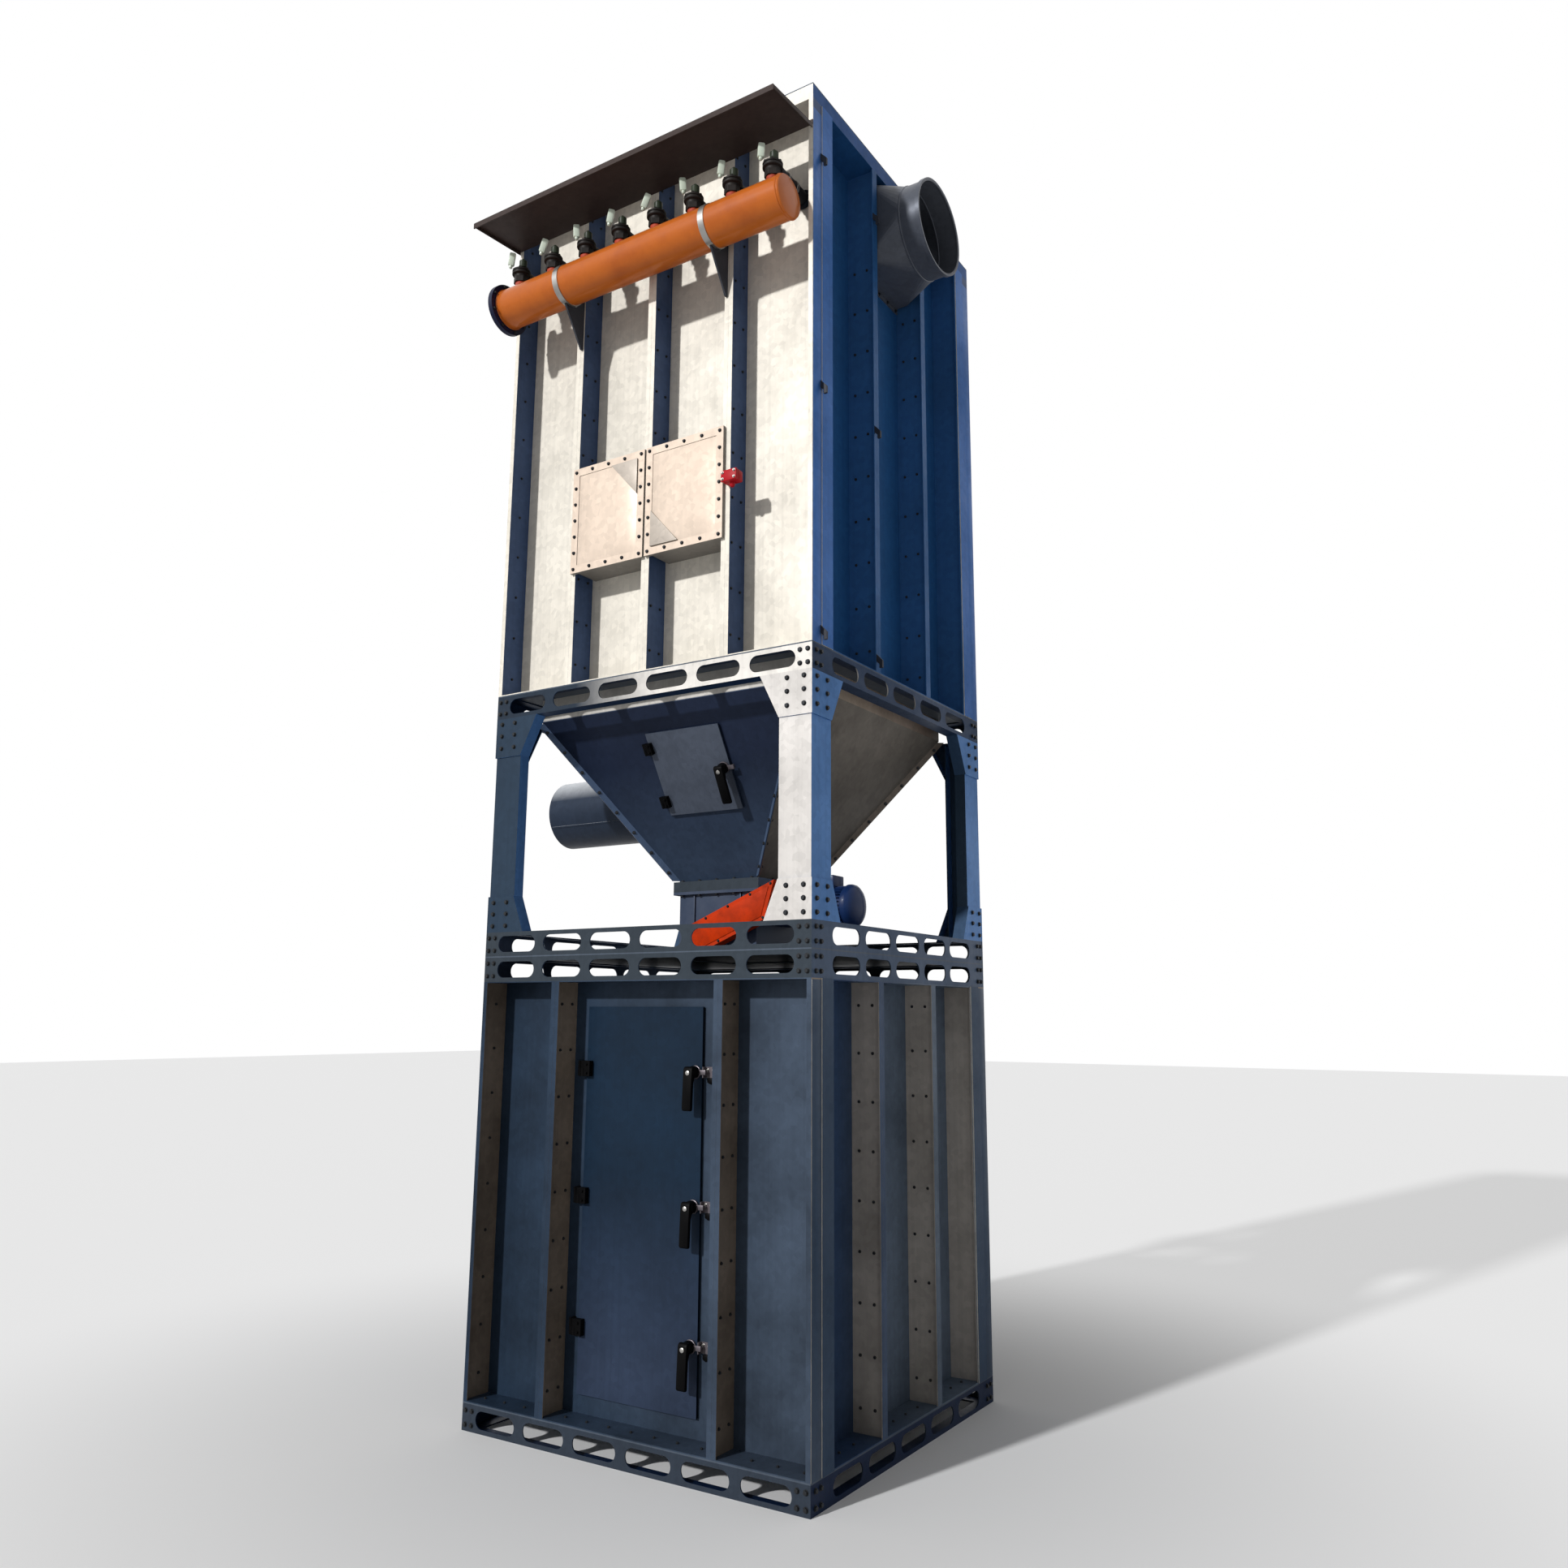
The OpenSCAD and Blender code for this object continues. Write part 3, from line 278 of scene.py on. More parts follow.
def finish(name, colour, metallic, roughness, **more):
    """A Principled material. Returns the material, its tree and its shader."""
    material = bpy.data.materials.new(name)
    material.use_nodes = True
    tree = material.node_tree
    shader = tree.nodes["Principled BSDF"]
    shader.inputs["Base Color"].default_value = linear(colour)
    shader.inputs["Metallic"].default_value = metallic
    shader.inputs["Roughness"].default_value = roughness
    for key, value in more.items():
        shader.inputs[key.replace("_", " ")].default_value = value
    return material, tree, shader
def remap(tree, value, low=0.0, high=1.0, start=0.0, end=1.0, curve="LINEAR"):
    """Maps the span from low to high onto the span from start to end."""
    sockets = {0: value, 1: low, 2: high, 3: start, 4: end}
    return add(tree, "ShaderNodeMapRange", {"interpolation_type": curve}, sockets).outputs[0]


def mixed_colour(tree, share, first, second):
    """Goes from the first colour to the second as the share goes from 0 to 1."""
    sockets = {0: share, 6: first, 7: second}
    return add(tree, "ShaderNodeMix", {"data_type": "RGBA"}, sockets).outputs[2]


def reach(tree, vector, direction):
    """How far a vector reaches along a direction."""
    sockets = {0: vector, 1: direction}
    made = add(tree, "ShaderNodeVectorMath", {"operation": "DOT_PRODUCT"}, sockets)
    return made.outputs["Value"]


def noise(tree, vector, scale, detail, roughness=0.5):
    """A soft noise between 0 and 1."""
    sockets = {"Vector": vector, "Scale": scale, "Detail": detail, "Roughness": roughness}
    return add(tree, "ShaderNodeTexNoise", {}, sockets).outputs[0]


def reckon(tree, operation, *values, clamp=False):
    """One sum on two or three values."""
    settings = {"operation": operation, "use_clamp": clamp}
    return add(tree, "ShaderNodeMath", settings, dict(enumerate(values))).outputs[0]


def bumped(tree, shader, height, strength, distance):
    """Lets a height pattern tilt the shader's surface."""
    sockets = {"Strength": strength, "Distance": distance, "Height": height}
    bump = add(tree, "ShaderNodeBump", {}, sockets)
    tree.links.new(bump.outputs[0], shader.inputs["Normal"])


# %% [markdown]
# ** Hot-dip galvanised sheet.** Zinc freezes in flat crystals, the spangle, 10 to 30 mm across,
# each a little lighter or darker. Weather dulls it in soft clouds and lets dust run down it in
# streaks. The flanks of the ribs and the sides get another tone than the faces, and the tone can
# drift across the tower: both are painted light and shade.

# %% Galvanised sheet
SPANGLE_SCALE = 45.0  # crystals 22 mm across
CLOUD_SCALE = 2.2  # clouds of dull zinc, about half a metre across
STREAK_SCALE = (60, 60, 0.9)  # dust streaks, 15 mm wide and a metre long
WAVE_SCALE = 6.0  # sheet is never quite flat: soft waves about 150 mm long


def galvanised(
    name, face, flank, axis=(0, 1, 0), metallic=0.2, roughness=0.42,
    dirt=0.35, cloudy=0.12, specular=0.12, one_way=False, painted_light_drift=(),
):
    """Zinc sheet: one tone on the faces that look along the axis, another on the flanks, as
    painted light and shade.
    """
    material, tree, shader = finish(name, face, metallic, roughness, Specular_IOR_Level=specular)
    coords = add(tree, "ShaderNodeTexCoord")
    place = coords.outputs["Object"]
    face_with_painted_drift = linear(face)
    for other, direction, start, end in painted_light_drift:
        # painted light and shade: the tone drifts to another colour between two places along a
        # direction
        share = remap(tree, reach(tree, place, direction), start, end)
        face_with_painted_drift = mixed_colour(tree, share, face_with_painted_drift, linear(other))
    # painted light and shade: faces along the axis, both ways or one way only, take the face tone,
    # and the others the flank tone
    kind = "MAXIMUM" if one_way else "ABSOLUTE"
    painted_light_facing = reckon(tree, kind, reach(tree, coords.outputs["Normal"], axis), 0.0, clamp=True)
    tone = mixed_colour(tree, remap(tree, painted_light_facing, 0.3), linear(flank), face_with_painted_drift)
    sockets = {"Vector": place, "Scale": SPANGLE_SCALE}
    spangle = add(tree, "ShaderNodeTexVoronoi", {}, sockets)
    crystal = add(tree, "ShaderNodeSeparateColor", {}, {"Color": spangle.outputs["Color"]})
    flake = remap(tree, crystal.outputs[0], start=0.93, end=1.06)
    cloud = noise(tree, place, CLOUD_SCALE, 5.0, 0.6)
    dull = remap(tree, cloud, 0.35, 0.7, 1.0 + cloudy, 1.0 - cloudy)
    stretch = add(tree, "ShaderNodeMapping", {}, {"Vector": place, "Scale": STREAK_SCALE})
    streak = noise(tree, stretch.outputs[0], 1.0, 3.0)
    run = remap(tree, streak, 0.45, 0.75, 1.0, 1.0 - dirt * 0.25)
    level = reckon(tree, "MULTIPLY", reckon(tree, "MULTIPLY", flake, dull), run)
    worn = add(
        tree, "ShaderNodeVectorMath", {"operation": "SCALE"}, {0: tone, "Scale": level}
    )
    tree.links.new(worn.outputs[0], shader.inputs["Base Color"])
    rough = remap(tree, cloud, 0.3, 0.7, roughness - 0.08, roughness + 0.14)
    rougher = reckon(tree, "MULTIPLY_ADD", crystal.outputs[1], 0.05, rough)
    tree.links.new(rougher, shader.inputs["Roughness"])
    bumped(tree, shader, noise(tree, place, WAVE_SCALE, 1.0), 0.12, 0.01)
    return material


# %% [markdown]
# **Paint, castings and plastic.** Enamel on steel is a smooth film with a slight orange peel and
# rubbed, dusty patches. Die-cast metal is grainy. Moulded plastic has a fine, even grain.


# %% Painted and moulded finishes
def coated(
    name, colour, worn, roughness=0.35, grain=900.0, bump_mm=0.05,
    metallic=0.0, coat=0.0, specular=0.5, patch=5.0,
):
    """Paint, casting or plastic, rubbed to a second tone in patches, with a fine grain."""
    material, tree, shader = finish(
        name, colour, metallic, roughness, Coat_Weight=coat, Specular_IOR_Level=specular,
    )
    place = add(tree, "ShaderNodeTexCoord").outputs["Object"]
    amount = remap(tree, noise(tree, place, patch, 6.0, 0.65), 0.45, 0.75)
    tone = mixed_colour(tree, amount, linear(colour), linear(worn))
    tree.links.new(tone, shader.inputs["Base Color"])
    rough = remap(tree, amount, start=roughness, end=min(1.0, roughness + 0.2))
    tree.links.new(rough, shader.inputs["Roughness"])
    bumped(tree, shader, noise(tree, place, grain, 2.0), 0.25, bump_mm / 1000)
    return material

# %% [markdown]
# ## The finishes of this tower
# Each zinc finish names the tone of its faces and the tone of its flanks, which paint in light and
# shade. A drift is another tone of painted light or shade, the direction that it lies in, and the
# two places between which it comes in.

# %% Zinc
FRONT_AND_TOP, SIDE_AND_TOP = (0, 1, 1), (1, 0, 1)
TO_FRONT_RIGHT = (1, -1, 0)
FRONT_SLOPE, SIDE_SLOPE = (0, 0.857, 0.516), (0.829, 0, 0.559)
STAINLESS = {"metallic": 0.15, "roughness": 0.4, "dirt": 0.2, "cloudy": 0.05}

# painted light and shade: cream faces are painted sunlight, navy flanks painted shade
ZINC_HOUSING = galvanised(
    "galvanised_sheet_painted_sunlight", "#e0dace", "#44577a", axis=FRONT_AND_TOP, metallic=0.12,
)
# painted shade and painted reflection: the sides' blue is shade lit by blue sky
ZINC_SIDE = galvanised(
    "galvanised_sheet_painted_sky_shade", "#255487", "#38669a", axis=SIDE_AND_TOP, metallic=0.12,
)
# painted light and shade: blue faces on the sides, cream flanks to the front, darker tone below
# 1.75 m
ZINC_STRIP = galvanised(
    "galvanised_cover_strip", "#3768ab", "#ddd8cd", axis=RIGHTWARDS,
    painted_light_drift=[("#2d4057", UP, 1.8, 1.75)],
)
# painted shade: the slate faces; lighter towards the right as painted light; the strong clouds are
# partly dull zinc and partly painted patches of light
ZINC_ROOM = galvanised(
    "galvanised_sheet_slate", "#233142", "#786c60", axis=FRONT_AND_TOP, cloudy=0.4,
    painted_light_drift=[("#3b4655", RIGHTWARDS, -0.5, 0.7)],
)
# painted light and shade: dark blue faces and lighter flanks; the tone grows lighter towards the
# back
ZINC_ROOM_SIDE = galvanised(
    "galvanised_sheet_slate_side", "#2b3f5d", "#aaa39b", axis=SIDE_AND_TOP, cloudy=0.3,
    painted_light_drift=[("#536070", (0, 1, 0), -0.35, 0.1)],
)
# painted shade: the dark navy and slate tones of these beams
ZINC_BASE = galvanised("galvanised_base_section", "#303843", "#0c1e3a")
ZINC_FRAME = galvanised("galvanised_section", "#323a42", "#405067")
# painted light and shade: dark faces are painted shade, the cream towards the front right painted
# sunlight
ZINC_UPPER = galvanised(
    "galvanised_upper_section", "#232e3b", "#1d3350",
    painted_light_drift=[("#d7d3cd", TO_FRONT_RIGHT, 0.4, 0.85)],
)
# painted light and shade: dark faces and blue flanks are painted shade, the pale tone towards the
# front right painted light
ZINC_LEG = galvanised(
    "galvanised_leg", "#273748", "#507cb4", painted_light_drift=[("#c8c4c0", TO_FRONT_RIGHT, 0.3, 1.0)],
)
# painted light and shade: the dark front is painted shade, lighter low down, and above 2.862 m the
# skirt is cream as painted sunlight
ZINC_HOPPER = galvanised(
    "galvanised_hopper", "#1e273b", "#566a88", axis=FRONT_SLOPE, roughness=0.34, cloudy=0.2,
    painted_light_drift=[("#3a485d", UP, 2.65, 2.25), ("#cfc9bd", UP, 2.862, 2.866)],
)
# painted reflection: the pale brown-grey faces and the darker sheen band that drifts across them
ZINC_HOPPER_SIDE = galvanised(
    "galvanised_hopper_side", "#b5a391", "#6a6660", axis=SIDE_SLOPE, roughness=0.34,
    cloudy=0.35, painted_light_drift=[("#5e4d42", (0, 0.8, -0.6), -2.0, -1.3)],
)
# painted shade: the hatch's dark tones
ZINC_HATCH = galvanised(
    "galvanised_hatch", "#4b525f", "#303a4b", axis=FRONT_SLOPE, roughness=0.34, cloudy=0.2,
)
ZINC_DECK = galvanised("galvanised_deck", "#5d656f", "#4b5460", axis=UP)
# painted light and shade: the pale top is painted light, the dark sides and underside painted
# shade
ZINC_DUCT = galvanised(
    "galvanised_inlet", "#dadee2", "#2a3444", axis=UP, roughness=0.3, one_way=True,
    cloudy=0.05,
)
# painted shade: the outlet's dark grey
ZINC_OUTLET = galvanised(
    "galvanised_outlet", "#4e525b", "#555962", roughness=0.34, specular=0.2,
)
# painted shade: the dark brown underside and edges
ZINC_CANOPY = galvanised(
    "galvanised_canopy", "#5c575c", "#3d322f", axis=UP, metallic=0.05, one_way=True,
)
# painted light and shade: cream front is painted sunlight, blue sides painted shade
ZINC_RIM = galvanised("galvanised_rim", "#d4d0c7", "#1f4c86")
# painted shade: the darker flanks of the vent parts
ZINC_VENT_FRAME = galvanised("stainless_frame", "#d8d4cd", "#8b867f", **STAINLESS)
ZINC_VENT = galvanised("stainless_membrane", "#d9c7b6", "#8b867f", **STAINLESS)
ZINC_FOLD = galvanised("stainless_corner_fold", "#b9afa4", "#6b665f", **STAINLESS)
# painted shade: the leaf's near-black navy, which grows lighter towards the bottom
DOOR_ZINC = galvanised(
    "galvanised_door", "#122436", "#081c2c", cloudy=0.25, painted_light_drift=[("#2c374b", UP, 1.0, 0.3)],
)

# %% Fasteners, paints and plastics
KEEPER_ZINC = coated(
    "dull_keeper_zinc", "#6a6469", "#4c484e", 0.4, 300, 0.03, metallic=0.5, specular=0.2,
)
BOLT_ZINC = coated(
    "zinc_plated_bolts", "#2e3033", "#1f2022", 0.4, 400, 0.05, metallic=0.4, specular=0.2,
)
BRIGHT_ZINC = coated("bright_zinc_plate", "#b3b1ad", "#8d8a86", 0.28, 300, 0.03, metallic=0.9)
POLYAMIDE = coated("black_polyamide", "#050506", "#0b0b0c", 0.45, 2500, 0.05, specular=0.06)
RUBBER = coated("grey_gasket_rubber", "#202830", "#2a3238", 0.7, 1500, 0.08, specular=0.1)
TANK_PAINT = coated(
    "tank_enamel", "#c06420", "#a9521a", 0.3, 500, 0.04, coat=0.25, specular=0.15,
)
NAVY_PAINT = coated("navy_flange_enamel", "#0c1230", "#161c38", 0.4, 500, 0.06, specular=0.2)
DARK_PAINT = coated("dark_bracket_enamel", "#2d3038", "#44454b", 0.5, 500, 0.06, specular=0.2)
GUARD_PAINT = coated(
    "guard_powder_coat", "#c83604", "#8a260a", 0.5, 700, 0.08, specular=0.1, patch=9.0,
)
MOTOR_PAINT = coated(
    "motor_enamel", "#0e2550", "#16305c", 0.35, 500, 0.06, coat=0.1, specular=0.15,
)
FEEDER_PAINT = coated("feeder_enamel", "#333f54", "#454e60", 0.4, 500, 0.06, specular=0.2)
# the casting's near-black is partly its own dark grey and partly painted shade
CASTING = coated(
    "die_cast_valve", "#1f1c1b", "#332e2b", 0.5, 900, 0.15, metallic=0.3, specular=0.2,
)
NIPPLE_PAINT = coated("nipple_enamel", "#b2432a", "#8f3a28", 0.4, 600, 0.06)
CONNECTOR = coated("pale_green_connector", "#d5e0d0", "#c2cdb9", 0.25, 1500, 0.03)
COIL = coated("coil_resin", "#2b3326", "#3a4233", 0.4, 1500, 0.05, specular=0.2)
PIPE_PAINT = coated("pipe_enamel", "#222427", "#34353a", 0.45, 600, 0.06, specular=0.2)
RED_PLASTIC = coated("red_moulding", "#ae1420", "#8c101c", 0.45, 1200, 0.03, specular=0.15)
# %% Every CAD node gets its finish
SHOWN = {
    "galvanised_sheet": ZINC_ROOM, "black_polyamide": POLYAMIDE, "zinc_plate": BRIGHT_ZINC,
    "grey_paint": FEEDER_PAINT, "guard_paint": GUARD_PAINT, "motor_paint": MOTOR_PAINT,
    "tank_paint": TANK_PAINT, "bracket_steel": DARK_PAINT, "valve_casting": CASTING,
    "pale_plastic": CONNECTOR, "pipe_steel": PIPE_PAINT, "red_plastic": RED_PLASTIC,
}
FINER = {
    "base_beams_front_back": ZINC_BASE, "base_beams_sides": ZINC_BASE, "room_floor": ZINC_DECK,
    "room_right_panels": ZINC_ROOM_SIDE, "room_left_panels": ZINC_ROOM_SIDE, "door": DOOR_ZINC,
    "room_top_beams": ZINC_FRAME, "room_roof": ZINC_DECK, "leg_base_beams": ZINC_FRAME,
    "legs": ZINC_LEG, "leg_gussets": ZINC_LEG, "upper_beams": ZINC_UPPER, "hopper_ring": ZINC_DECK,
    "hopper_front_wall": ZINC_HOPPER, "hopper_back_wall": ZINC_HOPPER,
    "hopper_right_wall": ZINC_HOPPER_SIDE, "hopper_left_wall": ZINC_HOPPER_SIDE,
    "hopper_outlet_flange": ZINC_FRAME, "inlet_duct": ZINC_DUCT, "hatch": ZINC_HATCH,
    "housing_front_panels": ZINC_HOUSING, "housing_back_panels": ZINC_HOUSING,
    "housing_right_panels": ZINC_SIDE, "housing_left_panels": ZINC_SIDE,
    "corner_strips": ZINC_STRIP, "housing_rim": ZINC_RIM, "housing_roof": ZINC_DECK,
    "vent_frames": ZINC_VENT_FRAME, "vent_membranes": ZINC_VENT, "outlet_duct": ZINC_OUTLET,
    "canopy": ZINC_CANOPY, "latch_keepers": KEEPER_ZINC, "tank_flange": NAVY_PAINT,
}
SLOT_OF = {part["node"]: part["material_slot"] for part in frame["record"]["subparts"]}
for node_name, node_object in NODES.items():
    paint = FINER.get(node_name, SHOWN[SLOT_OF[node_name]])
    node_object.data.materials.clear()
    node_object.data.materials.append(paint)
print("finished", len(NODES), "CAD nodes")


# %% Dressing a new piece
def dress(piece, paint, body="tower"):
    """Gives a piece its material and the body that it rides on."""
    piece.data.materials.clear()
    piece.data.materials.append(paint)
    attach(piece, body)
    return piece


# %% [markdown]
# ## Bolts
# Hundreds of hexagon bolts hold the sections together. One is modelled with its washer, in few
# faces, and copied to every hole. The head is a six-sided cylinder whose top is inset and raised
# for the chamfer.


# %% One bolt, three sizes
def hex_bolt(name, radius, height):
    """A hexagon head, given to its corners, that stands on a 2 mm washer."""
    bpy.ops.object.select_all(action="DESELECT")
    bpy.ops.mesh.primitive_cylinder_add(
        vertices=6, radius=radius, depth=height * 0.8, location=(0, 0, height * 0.4 + 0.002),
    )
    head = bpy.context.object
    bpy.ops.object.mode_set(mode="EDIT")
    bpy.ops.mesh.select_all(action="DESELECT")
    bpy.ops.object.mode_set(mode="OBJECT")
    for face in head.data.polygons:
        face.select = face.normal.z > 0.9
    bpy.ops.object.mode_set(mode="EDIT")
    bpy.ops.mesh.inset(thickness=radius * 0.15)
    bpy.ops.transform.translate(value=(0, 0, height * 0.2))
    bpy.ops.object.mode_set(mode="OBJECT")
    rim = radius * 1.25
    washer_profile = [(0, 0), (rim, 0), (rim, 0.0016), (0, 0.002)]
    washer = turned(name + "_washer", washer_profile, ORIGIN, UP, 14)
    return joined(name, [head, washer])


M12 = hex_bolt("bolt_m12", 0.008, 0.0065)
M8 = hex_bolt("bolt_m8", 0.0062, 0.005)
M6 = hex_bolt("bolt_m6", 0.0048, 0.004)

# %% [markdown]
# Beams, legs and gussets: four bolts at each beam end and two columns of three at the head and
# foot of each leg. The levels are the CAD's own. The back is the tower's outermost face, so its
# screws are countersunk and don't stand out there.

# %% Frame bolts
HALF_W, HALF_D = 0.8, 0.75
BEAMS = [0.0, 1.735, 1.84, 2.86]
BEAM_ROWS, BEAM_COLUMNS = (0.024, 0.076), (0.018, 0.052)
LEG_FOOT, LEG_HEAD = 1.94, 2.86
LEG_ROWS = [LEG_HEAD - down for down in (0.024, 0.076, 0.13)]
LEG_ROWS += [LEG_FOOT + up for up in (0.026, 0.076, 0.124)]
LEG_COLUMNS = (0.034, 0.108)


def corner_bolts(z, inset, step_back=0.0):
    """A bolt on the front and on the side of the tower's corners, and none on its back."""
    spots = []
    for sx in (-1, 1):
        for sy in (-1, 1):
            if sy < 0:
                spots.append(((sx * (HALF_W - inset), sy * HALF_D, z), (0, sy, 0)))
            spots.append(((sx * HALF_W, sy * (HALF_D - inset - step_back), z), (sx, 0, 0)))
    return spots


places = []
for base in BEAMS:
    for z in (base + row for row in BEAM_ROWS):
        for inset in BEAM_COLUMNS:
            places += corner_bolts(z, inset, 0.012)
for z in LEG_ROWS:
    for inset in LEG_COLUMNS:
        places += corner_bolts(z, inset)
dress(copies("frame_bolts", M12, places), BOLT_ZINC)
print(len(places), "frame bolts")

# %% [markdown]
# The wall trays are bolted to each other through the ribs, in two columns on each flank, and to
# the beams through their bottom flange.

# %% Panel bolts
# each wall's lower edge, its height and its rows of bolts
WALLS = [(0.105, 1.63, 9), (2.965, 2.28, 12)]
SHEET = 0.0042
ROOM_RIBS, HOUSING_RIBS, SIDE_RIBS = (-0.4, 0.4), (-0.4, 0.0, 0.4), (-0.23, 0.23)
RIB_COLUMNS = (0.038, 0.098)
NEAR_RIB = 0.025


def is_free(x, y, z):
    """False behind the vents and under the outlet duct, where no bolt can sit."""
    behind_vents = abs(x) < 0.39 and y < -0.6 and 3.43 < z < 3.93
    under_duct = x > 0.7 and abs(y) < 0.24 and 4.8 < z < 5.25
    return not (behind_vents or under_duct)


places = []
for base, height, rows in WALLS:
    front_ribs = ROOM_RIBS if base < 1 else HOUSING_RIBS
    for z in [base + height * (i + 0.5) / rows for i in range(rows)]:
        for depth in RIB_COLUMNS:
            for side in (-1, 1):
                for x in front_ribs:
                    for sy in (-1, 1):
                        spot = (x + side * SHEET, sy * (HALF_D - depth), z)
                        places.append((spot, (side, 0, 0)))
                for y in SIDE_RIBS:
                    for sx in (-1, 1):
                        spot = (sx * (HALF_W - depth), y + side * SHEET, z)
                        places.append((spot, (0, side, 0)))
        for sx in (-1, 1):
            for sy in (-1, 1):
                places.append(((sx * (HALF_W - SHEET), sy * (HALF_D - 0.07), z), (-sx, 0, 0)))
    for i in range(15):
        for sy in (-1, 1):
            x = -0.74 + i * 1.48 / 14
            if min(abs(x - rib) for rib in front_ribs) > NEAR_RIB:
                places.append(((x, sy * (HALF_D - 0.06), base + SHEET), UP))
    for i in range(12):
        for sx in (-1, 1):
            y = -0.56 + i * 1.12 / 11
            if abs(abs(y) - SIDE_RIBS[1]) > NEAR_RIB:
                places.append(((sx * (HALF_W - 0.06), y, base + SHEET), UP))
places = [(spot, direction) for spot, direction in places if is_free(*spot)]
dress(copies("panel_bolts", M6, places), BOLT_ZINC)
print(len(places), "panel bolts")

# %% [markdown]
# The hopper's four walls meet in pairs of flanges that stand out along its corners, bolted
# through every 110 mm. The points are stepped from the outlet's corner to the top corner. The
# hopper's outlet frame, the feeder's flanges and the outlet duct take bolts of the same size.

# %% Hopper and duct bolts
FIN_LOW, FIN_HIGH = Vector((0.2, 0.2, 2.172)), Vector((0.664, 0.614, 2.86))
FIN_HALF = 0.0042
FRAME_EDGE = 0.2115
OUTLET_Z = 5.03
out = Vector((0.464, 0.414, 0)).normalized()
places = []
for sx in (-1, 1):
    for sy in (-1, 1):
        for i in range(8):
            p = FIN_LOW.lerp(FIN_HIGH, 0.06 + 0.125 * i) + 0.016 * out
            for side in (-1, 1):
                n = Vector((-out.y, out.x, 0)) * side
                q = p + n * FIN_HALF
                places.append(((sx * q.x, sy * q.y, q.z), (sx * n.x, sy * n.y, 0)))
for i in range(5):
    t = -0.18 + 0.09 * i
    for side in (-1, 1):
        for z, up in ((2.172, 1), (2.115, -1), (1.852, 1)):
            places.append(((t, side * FRAME_EDGE, z), (0, 0, up)))
            if abs(t) < 0.15:
                places.append(((side * FRAME_EDGE, t, z), (0, 0, up)))
for i in range(6):
    t = -0.2 + 0.08 * i
    for side in (-1, 1):
        places.append(((0.676, t, OUTLET_Z + side * 0.196), RIGHTWARDS))
        places.append(((0.676, side * 0.211, OUTLET_Z + t * 0.85), RIGHTWARDS))
dress(copies("hopper_bolts", M8, places), BOLT_ZINC)
print(len(places), "hopper and duct bolts")

# %% [markdown]
# Flat covers close the two folds that meet at each corner, on the tower's left and right sides.

# %% Corner covers
COVER = 0.0008
covers = []
for low_z, high_z in ((0.105, 1.73), (2.965, 5.2)):
    for sx in (-1, 1):
        for sy in (-1, 1):
            xs = sorted((sx * HALF_W, sx * (HALF_W + COVER)))
            ys = sorted((sy * (HALF_D - 0.0015), sy * (HALF_D - 0.07)))
            corner = (xs[0], ys[0], low_z), (xs[1], ys[1], high_z)
            covers.append(block("cover", *corner, 0.0003))
dress(joined("corner_side_covers", covers), ZINC_STRIP)

# %% [markdown]
# ## Explosion vents
# Each vent is a thin stainless membrane under a bolted border. Pressure bulges it slightly, so
# it is a fine grid whose middle is raised by a smooth curve. One corner of each is folded over.

# %% Vent membranes and their bolts
VENT_X, VENT_Z, VENT_FACE = 0.2, 3.682, -0.766
DOME_HALF_W, DOME_HALF_H = 0.163, 0.204
VENT_BOLT_X, VENT_BOLT_Z = 0.178, 0.219
domes, folds, places = [], [], []
for side in (-1, 1):
    bpy.ops.object.select_all(action="DESELECT")
    bpy.ops.mesh.primitive_grid_add(x_subdivisions=24, y_subdivisions=28, size=1)
    dome = bpy.context.object
    for v in dome.data.vertices:
        a, b = v.co.x * 2, v.co.y * 2
        bulge = 0.009 * max(0.0, (1 - a**4) * (1 - b**4))
        across, height = side * VENT_X + a * DOME_HALF_W, VENT_Z + b * DOME_HALF_H
        v.co = (across, VENT_FACE + 0.0028 - bulge, height)
    bpy.ops.object.mode_set(mode="EDIT")
    bpy.ops.mesh.select_all(action="SELECT")
    bpy.ops.mesh.normals_make_consistent(inside=False)
    bpy.ops.object.mode_set(mode="OBJECT")
    if dome.data.polygons[0].normal.y > 0:
        dome.data.flip_normals()
    thick = dome.modifiers.new("sheet", "SOLIDIFY")
    thick.thickness = 0.0015
    domes.append(smooth(settle(dome)))
    x0, z0 = side * VENT_X - side * 0.161, VENT_Z - side * 0.202
    corner = [(0, 0), (side * 0.14, 0), (0, side * 0.155)]
    outline = [(x0 + x, z0 + z) for x, z in corner]
    folds.append(cut_plate("vent_fold", outline, 0.006, (0, VENT_FACE - 0.007, 0), 0.0008))
    for i in range(5):
        for z in (-VENT_BOLT_Z, VENT_BOLT_Z):
            x = side * VENT_X - VENT_BOLT_X + 0.089 * i
            places.append(((x, VENT_FACE, VENT_Z + z), FRONTWARDS))
    for i in range(1, 6):
        for x in (-VENT_BOLT_X, VENT_BOLT_X):
            z = VENT_Z - VENT_BOLT_Z + 0.073 * i
            places.append(((side * VENT_X + x, VENT_FACE, z), FRONTWARDS))
dress(joined("vent_domes", domes), ZINC_VENT)
dress(joined("vent_corner_folds", folds), ZINC_FOLD)
dress(copies("vent_bolts", M8, places), BOLT_ZINC)

# %% [markdown]
# ## Door
# The leaf closes on a rubber gasket. Three lever latches hold it: a black moulded lever on a
# round hub with a bright insert, and a steel tongue that slides over the keeper. The lever is
# one side outline, cut to the lever's width and rounded.

# %% Gaskets
DOOR_X, DOOR_Z = (-0.3165, 0.2485), (0.1815, 1.6335)
DOOR_GASKET_Y = (-0.6252, -0.6206)
STRIP = 0.0095
SOFT = 0.0012


